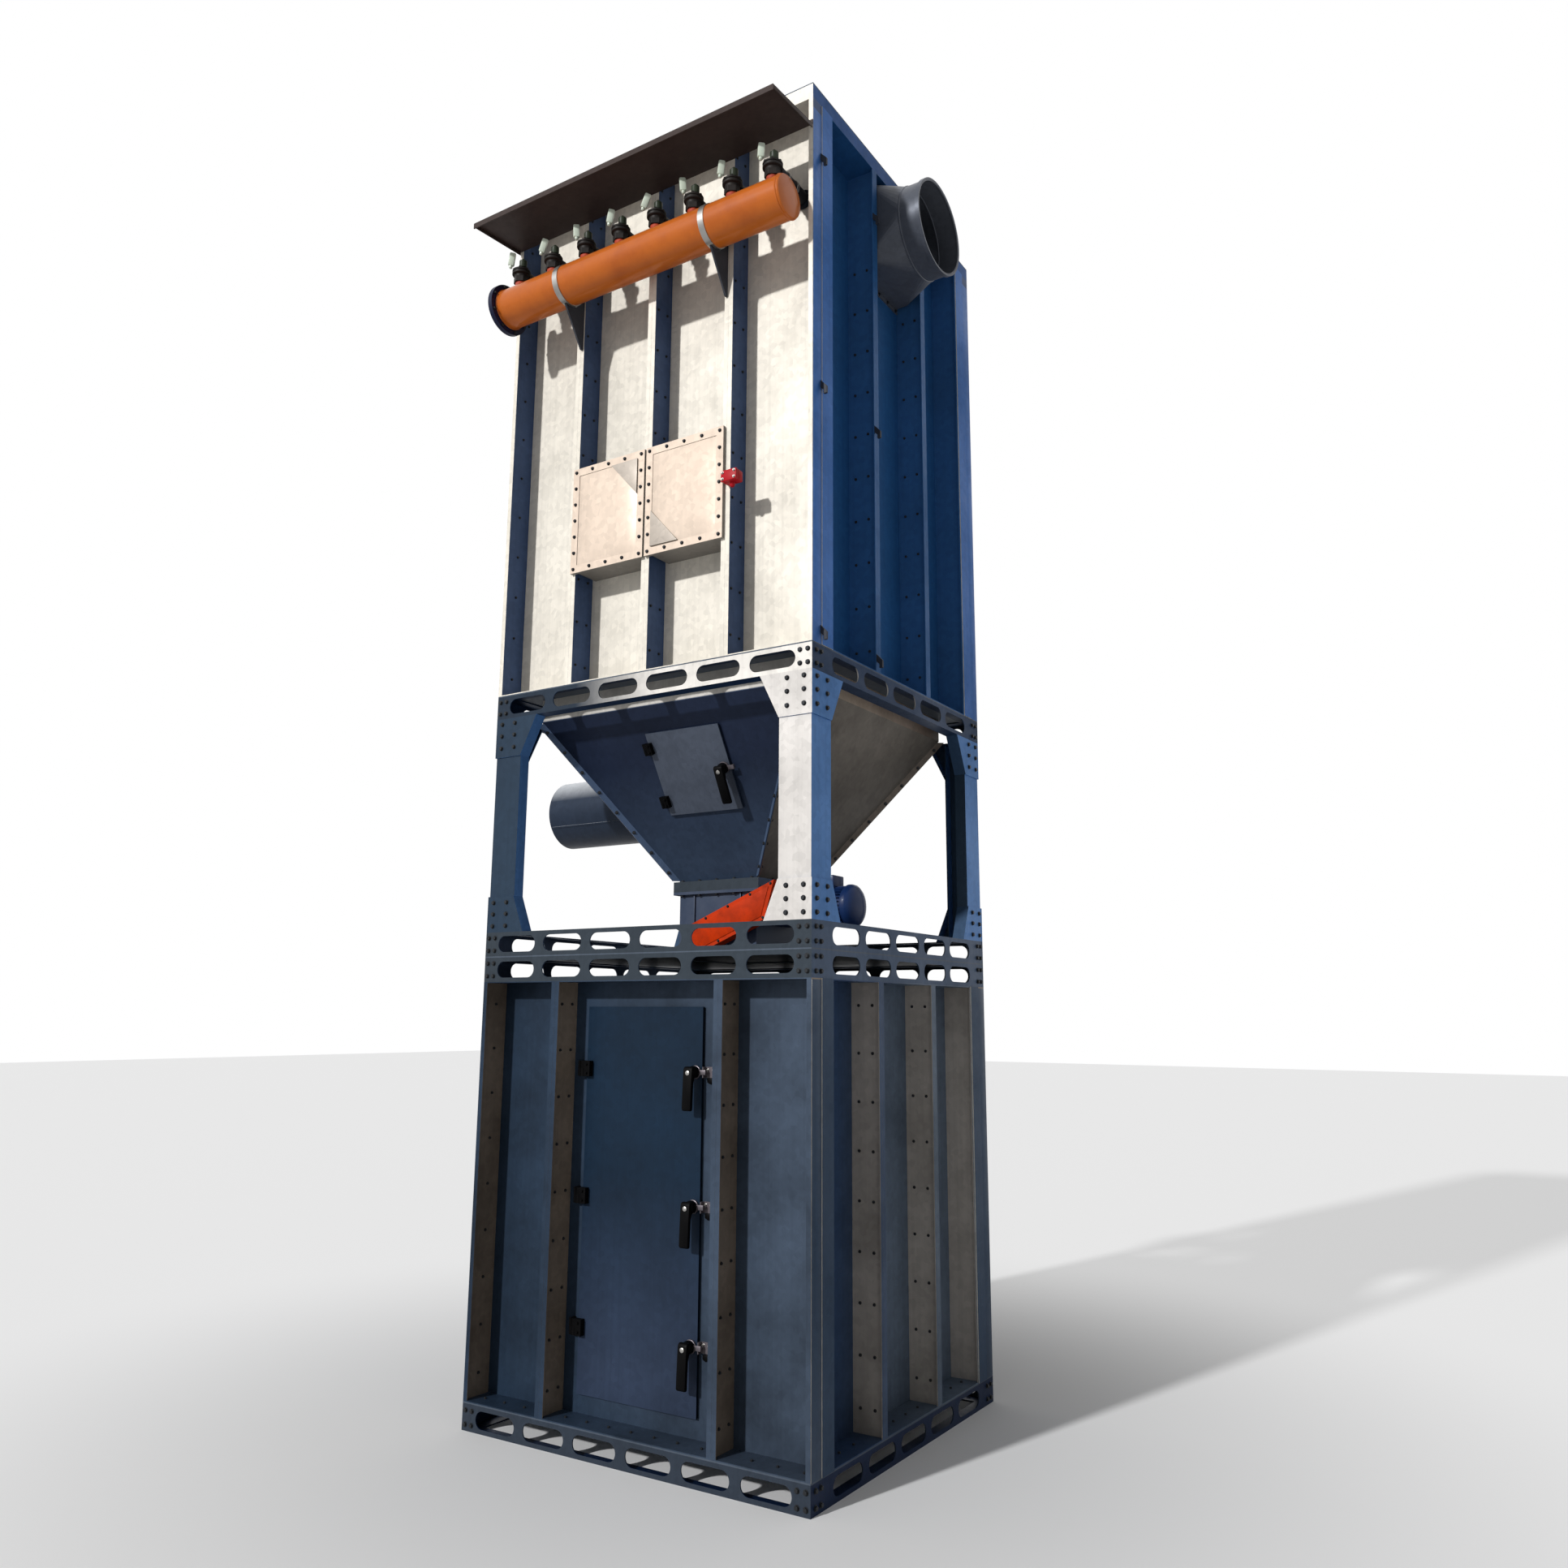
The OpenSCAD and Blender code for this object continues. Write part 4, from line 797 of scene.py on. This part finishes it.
def gasket_frame(name, xs, ys, zs, width):
    """Four rubber strips around a rectangle."""
    strips = []
    for x in (xs[0], xs[1] - width):
        strips.append(block("gasket", (x, ys[0], zs[0]), (x + width, ys[1], zs[1]), SOFT))
    for z in (zs[0], zs[1] - width):
        strips.append(block("gasket", (xs[0], ys[0], z), (xs[1], ys[1], z + width), SOFT))
    return joined(name, strips)


door_gasket = gasket_frame("door_gasket", DOOR_X, DOOR_GASKET_Y, DOOR_Z, STRIP)
dress(door_gasket, RUBBER, "door")

# the hopper's front wall: x across it, y out of it and z up its slope
SLOPE = math.atan(0.414 / 0.688)
WALL = Matrix.Translation((0, -0.2004, 2.172)) @ Matrix.Rotation(SLOPE, 4, "X")
gasket = gasket_frame("hatch_gasket", (-0.121, 0.24), (-0.0051, -0.0008), (0.322, 0.684), 0.014)
gasket.matrix_world = WALL
dress(settle(gasket), RUBBER, "hatch")

# %% One lever latch, drawn at the origin on a panel whose face is y = 0
side_view = [
    (0.03, 0.012), (0.036, 0.021), (0.047, 0.022), (0.055, 0.014), (0.0575, -0.02),
    (0.062, -0.132), (0.059, -0.139), (0.049, -0.141), (0.045, -0.135), (0.041, -0.04),
    (0.036, -0.024), (0.03, -0.016),
]
lever = cut_plate("lever", side_view, 0.042, (0, -0.021, 0), 0.009)
lever.rotation_euler = (0, 0, -math.pi / 2)
settle(lever)
hub_profile = [
    (0, 0.009), (0.0225, 0.009), (0.0235, 0.014), (0.0235, 0.024), (0.02, 0.034),
    (0.0185, 0.045), (0.0165, 0.052), (0, 0.0535),
]
hub = turned("hub", hub_profile, ORIGIN, FRONTWARDS)
GRIP = joined("grip_pattern", [lever, hub])
rose_profile = [
    (0, 0.0004), (0.0245, 0.0004), (0.0255, 0.003), (0.0245, 0.0075), (0.021, 0.009),
    (0, 0.009),
]
rose = turned("rose", rose_profile, ORIGIN, FRONTWARDS)
tongue = block("tongue", (0.0, -0.0135, -0.009), (0.052, -0.0075, 0.009), 0.0015)
tip = block("tip", (0.045, -0.0095, -0.009), (0.052, -0.0015, 0.009), 0.0015)
SHAFT = joined("shaft_pattern", [rose, tongue, tip])
dot_profile = [(0, 0.053), (0.009, 0.053), (0.009, 0.0565), (0.0075, 0.0575), (0, 0.0578)]
DOT = turned("dot_pattern", dot_profile, (0, 0, -0.002), FRONTWARDS, 20)

BOTTOM, MIDDLE, TOP = LATCH_LEVELS = (0.4225, 0.9075, 1.3925)
LATCHES = {
    "door_latch_top": Matrix.Translation((0.222, -0.634, TOP)),
    "door_latch_middle": Matrix.Translation((0.222, -0.634, MIDDLE)),
    "door_latch_bottom": Matrix.Translation((0.222, -0.634, BOTTOM)),
    "hatch_latch": WALL @ Matrix.Translation((0.217, -0.013, 0.503)),
}
for body, place in LATCHES.items():
    for pattern, paint, slot, end in (
        (GRIP, POLYAMIDE, "black_polyamide", "_lever"),
        (SHAFT, KEEPER_ZINC, "zinc_plate", "_shaft"),
        (DOT, BRIGHT_ZINC, "zinc_plate", "_insert"),
    ):
        twin = twin_of(body + end, pattern, place)
        dress(settle(twin), paint, body)
        if pattern is GRIP:
            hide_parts(body)
drop(GRIP, SHAFT, DOT)

# %% Keeper hooks and hinge screws
hooks, places = [], []
for z in LATCH_LEVELS:
    outline = [
        (0.276, z - 0.02), (0.3, z - 0.02), (0.3, z - 0.034), (0.292, z - 0.044),
        (0.276, z - 0.036),
    ]
    hooks.append(cut_plate("keeper_hook", outline, 0.018, (0, -0.6385, 0), 0.002))
    for x in (0.27, 0.296):
        places.append(((x, -0.624, z + 0.009), FRONTWARDS))
dress(joined("keeper_hooks", hooks), POLYAMIDE)
dress(copies("keeper_screws", M6, places), BRIGHT_ZINC)
places = []
for z in LATCH_LEVELS:
    for up in (-0.017, 0.017):
        places.append(((-0.3035, -0.656, z + up), FRONTWARDS))
dress(copies("door_hinge_screws", M6, places), POLYAMIDE, "door")
places = []
for level in (0.383, 0.623):
    for up in (-0.014, 0.014):
        spot = WALL @ Vector((-0.117, -0.033, level + up))
        places.append((spot, WALL.to_3x3() @ Vector(FRONTWARDS)))
dress(copies("hatch_hinge_screws", M6, places), POLYAMIDE, "hatch")

# %% [markdown]
# ## Air tank
# A welded steel pipe with a bolted blind flange on the left and a dished cap on the right. Weld
# beads are thin rings turned in one go.

# %% Tank details
TANK_Y, TANK_Z, TANK_R = -0.857, 4.746, 0.086
cap_profile = [
    (0, 0), (0.0855, 0), (0.083, 0.004), (0.07, 0.0085), (0.04, 0.011), (0, 0.012),
]
cap = turned("tank_end_dish", cap_profile, (0.7528, TANK_Y, TANK_Z), RIGHTWARDS, 48)
dress(cap, TANK_PAINT)
bead = [
    (TANK_R - 0.001, -0.004), (TANK_R + 0.002, -0.003), (TANK_R + 0.0034, 0),
    (TANK_R + 0.002, 0.003), (TANK_R - 0.001, 0.004),
]
beads = [turned("bead", bead, (x, TANK_Y, TANK_Z), RIGHTWARDS, 64) for x in (-0.7395, 0.7435)]
dress(joined("tank_weld_beads", beads), TANK_PAINT)
places = []
for i in range(8):
    a = math.tau * (i + 0.5) / 8
    y, z = TANK_Y + 0.1 * math.cos(a), TANK_Z + 0.1 * math.sin(a)
    places += [((-0.765, y, z), (-1, 0, 0)), ((-0.743, y, z), RIGHTWARDS)]
dress(copies("tank_flange_bolts", M8, places), BOLT_ZINC)

# %% Straps: narrow bands where the CAD's straps are
band = [
    (TANK_R - 0.0005, -0.014), (TANK_R + 0.0035, -0.0135), (TANK_R + 0.0035, 0.0135),
    (TANK_R - 0.0005, 0.014),
]
straps = []
for side in (-1, 1):
    xs = [v.co.x for v in NODES["tank_straps"].data.vertices if v.co.x * side > 0]
    middle = (min(xs) + max(xs)) / 2
    straps.append(turned("band", band, (middle, TANK_Y, TANK_Z), RIGHTWARDS, 64))
strap_set = dress(joined("tank_strap_bands", straps), BRIGHT_ZINC)
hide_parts("tank_straps")

# %% [markdown]
# ## Pulse valves
# Each valve stands on a painted nipple: a hexagon, a round diaphragm body with a ring of screws,
# and a dome. A coil with a pale plug sits on top. All are turned once and copied along the tank.

# %% Valves
VALVE_X = [-0.679 + 0.194 * i for i in range(8)]


def along_tank(z, dx=0.0, dy=0.0):
    """The same upright place at each of the valves."""
    return [((x + dx, TANK_Y + dy, z), UP) for x in VALVE_X]


nipple_profile = [
    (0, -0.008), (0.0255, -0.008), (0.029, -0.001), (0.0255, 0.004), (0.0255, 0.034),
    (0.029, 0.036), (0.029, 0.04), (0, 0.04),
]
nipple = turned("nipple", nipple_profile, ORIGIN, UP)
nipples = copies("valve_nipples_painted", nipple, along_tank(4.832))
dress(nipples, NIPPLE_PAINT)
body_profile = [
    (0, 0.008), (0.029, 0.008), (0.031, 0.02), (0.04, 0.024), (0.041, 0.026),
    (0.041, 0.033), (0.0375, 0.035), (0.0375, 0.037), (0.041, 0.039), (0.041, 0.045),
    (0.039, 0.047), (0.03, 0.05), (0.022, 0.058), (0, 0.06),
]
bowl = turned("bowl", body_profile, ORIGIN, UP)
bpy.ops.object.select_all(action="DESELECT")
bpy.ops.mesh.primitive_cylinder_add(
    vertices=6, radius=0.034, depth=0.026, location=(0, 0, -0.003),
)
nut = soften(bpy.context.object, 0.0015)
SCREW_RING = 0.0345
turns = [math.tau * k / 6 for k in range(6)]
places = [((SCREW_RING * math.cos(a), SCREW_RING * math.sin(a), 0.0465), UP) for a in turns]
screws = copies("screws", M6, places)
VALVE = joined("valve_pattern", [bowl, nut, screws])
castings = dress(copies("valve_castings", VALVE, along_tank(4.871)), CASTING)
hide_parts("pulse_valves")
coil_profile = [
    (0, 0), (0.009, 0), (0.009, 0.006), (0.0165, 0.007), (0.0175, 0.009), (0.0175, 0.038),
    (0.016, 0.04), (0.006, 0.041), (0.006, 0.05), (0, 0.05),
]
coil = turned("coil", coil_profile, ORIGIN, UP, 20)
coils = dress(copies("valve_coils", coil, along_tank(4.929, 0.004, 0.004)), COIL)
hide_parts("solenoids")
drop(nipple, VALVE, coil)

# %% Plugs, each pushed on at a slightly different lean
LEANS = (10, 22, -4, 12, 26, -6, 8, 4)
plug = block("plug", (-0.014, -0.01, -0.031), (0.014, 0.01, 0.031), 0.006)
gland_profile = [(0, 0), (0.008, 0), (0.008, 0.008), (0.005, 0.012), (0, 0.012)]
gland = turned("gland", gland_profile, (0, 0, -0.031), DOWN, 12)
PLUG = joined("plug_pattern", [plug, gland])
plugs = []
for x, lean in zip(VALVE_X, LEANS):
    spot = Matrix.Translation((x - 0.04, TANK_Y - 0.024, 4.978))
    tilt = Matrix.Rotation(math.radians(lean), 4, "Y")
    plugs.append(twin_of("plug", PLUG, spot @ tilt @ Matrix.Rotation(0.7, 4, "Z")))
dress(joined("valve_plugs", plugs), CONNECTOR)
drop(PLUG)

# %% Pipe couplings
PIPE_Z = 4.901
ring_profile = [
    (0.0275, 0), (0.039, 0), (0.04, 0.002), (0.04, 0.012), (0.036, 0.016), (0.0275, 0.016),
]
ring = turned("ring", ring_profile, ORIGIN, UP)
clamp_profile = [(0.0275, 0), (0.0315, 0.001), (0.0315, 0.015), (0.0275, 0.016)]
clamp = turned("clamp", clamp_profile, ORIGIN, UP)
places = [((x, -0.6204, PIPE_Z), FRONTWARDS) for x in VALVE_X]
dress(copies("pipe_grommets", ring, places), RUBBER)
places = [((x, y, PIPE_Z), FRONTWARDS) for x in VALVE_X for y in (-0.76, -0.7)]
dress(copies("pipe_clamps", clamp, places), BRIGHT_ZINC)
drop(ring, clamp)

# %% [markdown]
# ## Drive
# A motor body has cooling fins all round. One fin is modelled and turned into place, then a
# domed fan cowl and a terminal box complete it.

# %% Gear motor
AX = Vector((0, 0, 2.0545))
FINS = 32
gearbox = block("gearbox", (0.2218, -0.09, 1.9795), (0.3335, 0.09, 2.1295), 0.008)
foot = block("gear_foot", (0.2002, -0.06, 1.9795), (0.235, 0.06, 2.11), 0.004)
gear_side = (0.2735, -0.09, AX.z)
cover_profile = [(0, 0), (0.052, 0), (0.052, 0.006), (0.042, 0.01), (0, 0.01)]
gear_cover = turned("gear_cover", cover_profile, gear_side, FRONTWARDS)
shaft_profile = [(0, 0), (0.014, 0), (0.014, 0.134), (0, 0.134)]
shaft = turned("gear_shaft", shaft_profile, gear_side, FRONTWARDS)
barrel_profile = [
    (0, 0), (0.081, 0), (0.083, 0.01), (0.073, 0.014), (0.073, 0.19), (0.083, 0.194),
    (0.083, 0.2), (0, 0.2),
]
barrel = turned("barrel", barrel_profile, (0.3335, 0, AX.z), RIGHTWARDS, 40)
fin = block("fin", (0.35, -0.0011, 0.07), (0.521, 0.0011, 0.085), 0.0006)
fins = []
for i in range(FINS):
    spin = Matrix.Rotation(math.tau * i / FINS, 4, "X")
    fins.append(twin_of("fin", fin, Matrix.Translation(AX) @ spin))
drop(fin)
cowl_profile = [
    (0, 0), (0.087, 0), (0.09, 0.003), (0.09, 0.014), (0.086, 0.027), (0.075, 0.037),
    (0.056, 0.0445), (0.03, 0.0488), (0, 0.05),
]
cowl = turned("cowl", cowl_profile, (0.5335, 0, AX.z), RIGHTWARDS, 40)
box = block("terminal_box", (0.38, -0.045, AX.z + 0.07), (0.48, 0.045, AX.z + 0.13), 0.005)
motor_parts = [gearbox, foot, gear_cover, shaft, barrel, cowl, box] + fins
motor = dress(joined("gear_motor_cast", motor_parts), MOTOR_PAINT)
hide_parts("gear_motor")

# %% Rotary feeder
ROTOR_Z = 1.944
BOLT_RING = 0.063
RIB, RIB_Z = 0.008, (1.852, 2.115)
bearing_profile = [
    (0, 0), (0.075, 0), (0.075, 0.01), (0.05, 0.014), (0.05, 0.018), (0, 0.018),
]
covers, places = [], []
for side in (-1, 1):
    spot = (0, side * 0.1998, ROTOR_Z)
    covers.append(turned("bearing", bearing_profile, spot, (0, side, 0)))
    for k in range(4):
        a = math.tau * (k + 0.5) / 4
        x, z = BOLT_RING * math.cos(a), ROTOR_Z + BOLT_RING * math.sin(a)
        places.append(((x, side * 0.2098, z), (0, side, 0)))
for x in (-0.12, 0.0, 0.12):
    for side in (-1, 1):
        if x or side > 0:
            near, far = side * 0.2 - RIB * (side < 0), side * 0.2 + RIB * (side > 0)
            corners = (x - 0.004, near, RIB_Z[0]), (x + 0.004, far, RIB_Z[1])
            covers.append(block("rib", *corners, 0.001))
dress(joined("feeder_details", covers), FEEDER_PAINT)
dress(copies("bearing_bolts", M8, places), BOLT_ZINC)

# %% Chain guard: a raised face and its row of bolts, laid in the guard's own tilt
TILT = math.radians(22)
GUARD = Matrix.Translation((0, -0.28, ROTOR_Z)) @ Matrix.Rotation(-TILT, 4, "Y")
inner = [(-0.093, 0.05), (-0.07, -0.05), (0.277, -0.05), (0.355, 0.05)]
face = cut_plate("guard_face", inner, 0.004, (0, -0.0035, 0), 0.003)
face.matrix_world = GUARD
dress(settle(face), GUARD_PAINT)
GUARD_ROWS = {0.0575: (-0.1, 0.02, 0.14, 0.26, 0.368), -0.0575: (-0.073, 0.045, 0.163, 0.283)}
places = []
for z, row in GUARD_ROWS.items():
    for x in row:
        places.append((GUARD @ Vector((x, 0, z)), FRONTWARDS))
dress(copies("guard_bolts", M6, places), BOLT_ZINC)

# %% [markdown]
# ## Ducts and rain canopy
# The inlet duct has a lock seam along it, and the outlet's collar has rolled rims. The
# canopy's edges are hemmed, and its flange is bolted to the ribs.

# %% Duct rims
INLET_Z = 2.56
SEAM_TURN = math.radians(-62)
seam = block("lock_seam", (-1.02, -0.004, 2.3975), (-0.5, 0.004, 2.4005), 0.0008)
to_axis = Matrix.Translation((0, 0, -INLET_Z))
from_axis = Matrix.Translation((0, 0, INLET_Z))
seam.matrix_world = from_axis @ Matrix.Rotation(SEAM_TURN, 4, "X") @ to_axis
dress(settle(seam), ZINC_DUCT)
lip = [(0.1995, -0.004), (0.1965, -0.002), (0.196, 0), (0.1965, 0.002), (0.1995, 0.004)]
rings = [turned("lip", lip, (x, 0, OUTLET_Z), RIGHTWARDS, 64) for x in (0.902, 0.996)]
outer = [(0.2028, -0.005), (0.206, -0.003), (0.207, 0), (0.206, 0.003), (0.2028, 0.005)]
rings.append(turned("weld", outer, (0.902, 0, OUTLET_Z), RIGHTWARDS, 64))
dress(joined("outlet_lips", rings), ZINC_OUTLET)

# %% Canopy hems and bolts
places = [((-0.76 + 0.19 * i, -0.753, 5.131), FRONTWARDS) for i in range(9)]
dress(copies("canopy_bolts", M6, places), BOLT_ZINC)
hems = [block("hem", (-0.8, -1.045, 5.067), (0.8, -1.0395, 5.0715), 0.002)]
end_view = [(-0.752, 5.117), (-0.752, 5.1), (-1.043, 5.074), (-1.043, 5.09)]
for x in (-0.8, 0.797):
    end_hem = cut_plate("end_hem", end_view, 0.003)
    end_hem.rotation_euler = (0, 0, math.pi / 2)
    end_hem.location = (x + 0.003, 0, 0)
    hems.append(settle(end_hem))
dress(joined("canopy_hems", hems), ZINC_CANOPY)

# %% [markdown]
# ## Junction box
# A red moulded box on the rib: a body, a lid with a shadow gap, a gland and four screws.

# %% Sensor box
# the box is shown lower and narrower than its CAD solid
HALF_HEIGHT_SHARE, WIDTH_CUT = 0.32, 0.15
low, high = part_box("sensor_box")
middle, half = (low.z + high.z) / 2, HALF_HEIGHT_SHARE * (high.z - low.z)
low.z, high.z = middle - half, middle + half
high.x -= WIDTH_CUT * (high.x - low.x)
body_part = block("box_body", low, high, 0.006)
LAP = 0.001
lid_low = (low.x - LAP, low.y - 0.006, low.z - LAP)
lid_high = (high.x + LAP, low.y + 0.006, high.z + LAP)
lid = block("box_lid", lid_low, lid_high, 0.004)
gland_profile = [(0, 0), (0.011, 0), (0.011, 0.012), (0.007, 0.018), (0, 0.018)]
under = ((low.x + high.x) / 2, (low.y + high.y) / 2, low.z)
gland = turned("box_gland", gland_profile, under, DOWN, 16)
red_box = dress(joined("junction_box", [body_part, lid, gland]), RED_PLASTIC)
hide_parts("sensor_box")
xs, zs = (low.x + 0.009, high.x - 0.009), (low.z + 0.009, high.z - 0.009)
places = [((x, low.y - 0.006, z), FRONTWARDS) for x in xs for z in zs]
dress(copies("box_screws", M6, places), BRIGHT_ZINC)
drop(M12, M8, M6)

# %% [markdown]
# ## Studio
# A pale floor, an even world and one soft lamp, which stands low at the front left, as the sun
# did in the photograph. The background is white for the camera, for reflections and for light
# that passes through, and dim for everything else. Away from the tower the floor glows a
# little to the camera, so that it stays pale.

# %% Floor
GLOW_FROM, GLOW_TO, GLOW_SHARE = 1.0, 4.0, 0.5
WHITE = (1, 1, 1, 1)
bpy.ops.object.select_all(action="DESELECT")
bpy.ops.mesh.primitive_plane_add(size=80)
floor = bpy.context.object
floor.name = "studio_floor"
floor_paint, floor_tree, floor_shader = finish("studio_floor_paint", "#f2f2f2", 0.0, 0.9)
rays = add(floor_tree, "ShaderNodeLightPath")
glow = add(floor_tree, "ShaderNodeEmission", {}, {"Color": WHITE, "Strength": 1.0})
floor_coords = add(floor_tree, "ShaderNodeTexCoord")
sockets = {0: floor_coords.outputs["Object"]}
away = add(floor_tree, "ShaderNodeVectorMath", {"operation": "LENGTH"}, sockets)
open_floor = remap(
    floor_tree, away.outputs["Value"], GLOW_FROM, GLOW_TO, 0.0, GLOW_SHARE, "SMOOTHSTEP",
)
share = reckon(floor_tree, "MULTIPLY", rays.outputs["Is Camera Ray"], open_floor)
sockets = {0: share, 1: floor_shader.outputs[0], 2: glow.outputs[0]}
blend = add(floor_tree, "ShaderNodeMixShader", {}, sockets)
floor_tree.links.new(blend.outputs[0], floor_tree.nodes["Material Output"].inputs[0])
floor.data.materials.append(floor_paint)
floor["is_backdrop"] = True

# %% Lamp
TO_LAMP = Vector((-0.27, -1.0, 0.5))
bpy.ops.object.light_add(type="SUN", location=(-3, -4, 9))
lamp = bpy.context.object
lamp.name = "key_lamp"
lamp.data.energy = 2.75
lamp.data.angle = math.radians(2.5)
lamp.rotation_euler = TO_LAMP.to_track_quat("Z", "Y").to_euler()

# %% World
DIM_LIGHT = 0.26
world = bpy.data.worlds.new("studio")
bpy.context.scene.world = world
world.use_nodes = True
sky = world.node_tree
seen = add(sky, "ShaderNodeLightPath").outputs
direct = reckon(sky, "MAXIMUM", seen["Is Camera Ray"], seen["Is Glossy Ray"])
either = reckon(sky, "MAXIMUM", direct, seen["Is Transmission Ray"])
backdrop = sky.nodes["Background"]
backdrop.inputs["Color"].default_value = WHITE
sky.links.new(remap(sky, either, start=DIM_LIGHT), backdrop.inputs["Strength"])
bpy.context.scene.view_settings.view_transform = "Standard"

# %% Sizes and finish
low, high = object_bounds()
print("visual box", [round(v, 3) for v in low], [round(v, 3) for v in high])
total = 0
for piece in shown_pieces():
    if piece.type == "MESH":
        piece.data.calc_loop_triangles()
        total += len(piece.data.loop_triangles)
print("triangles", total)
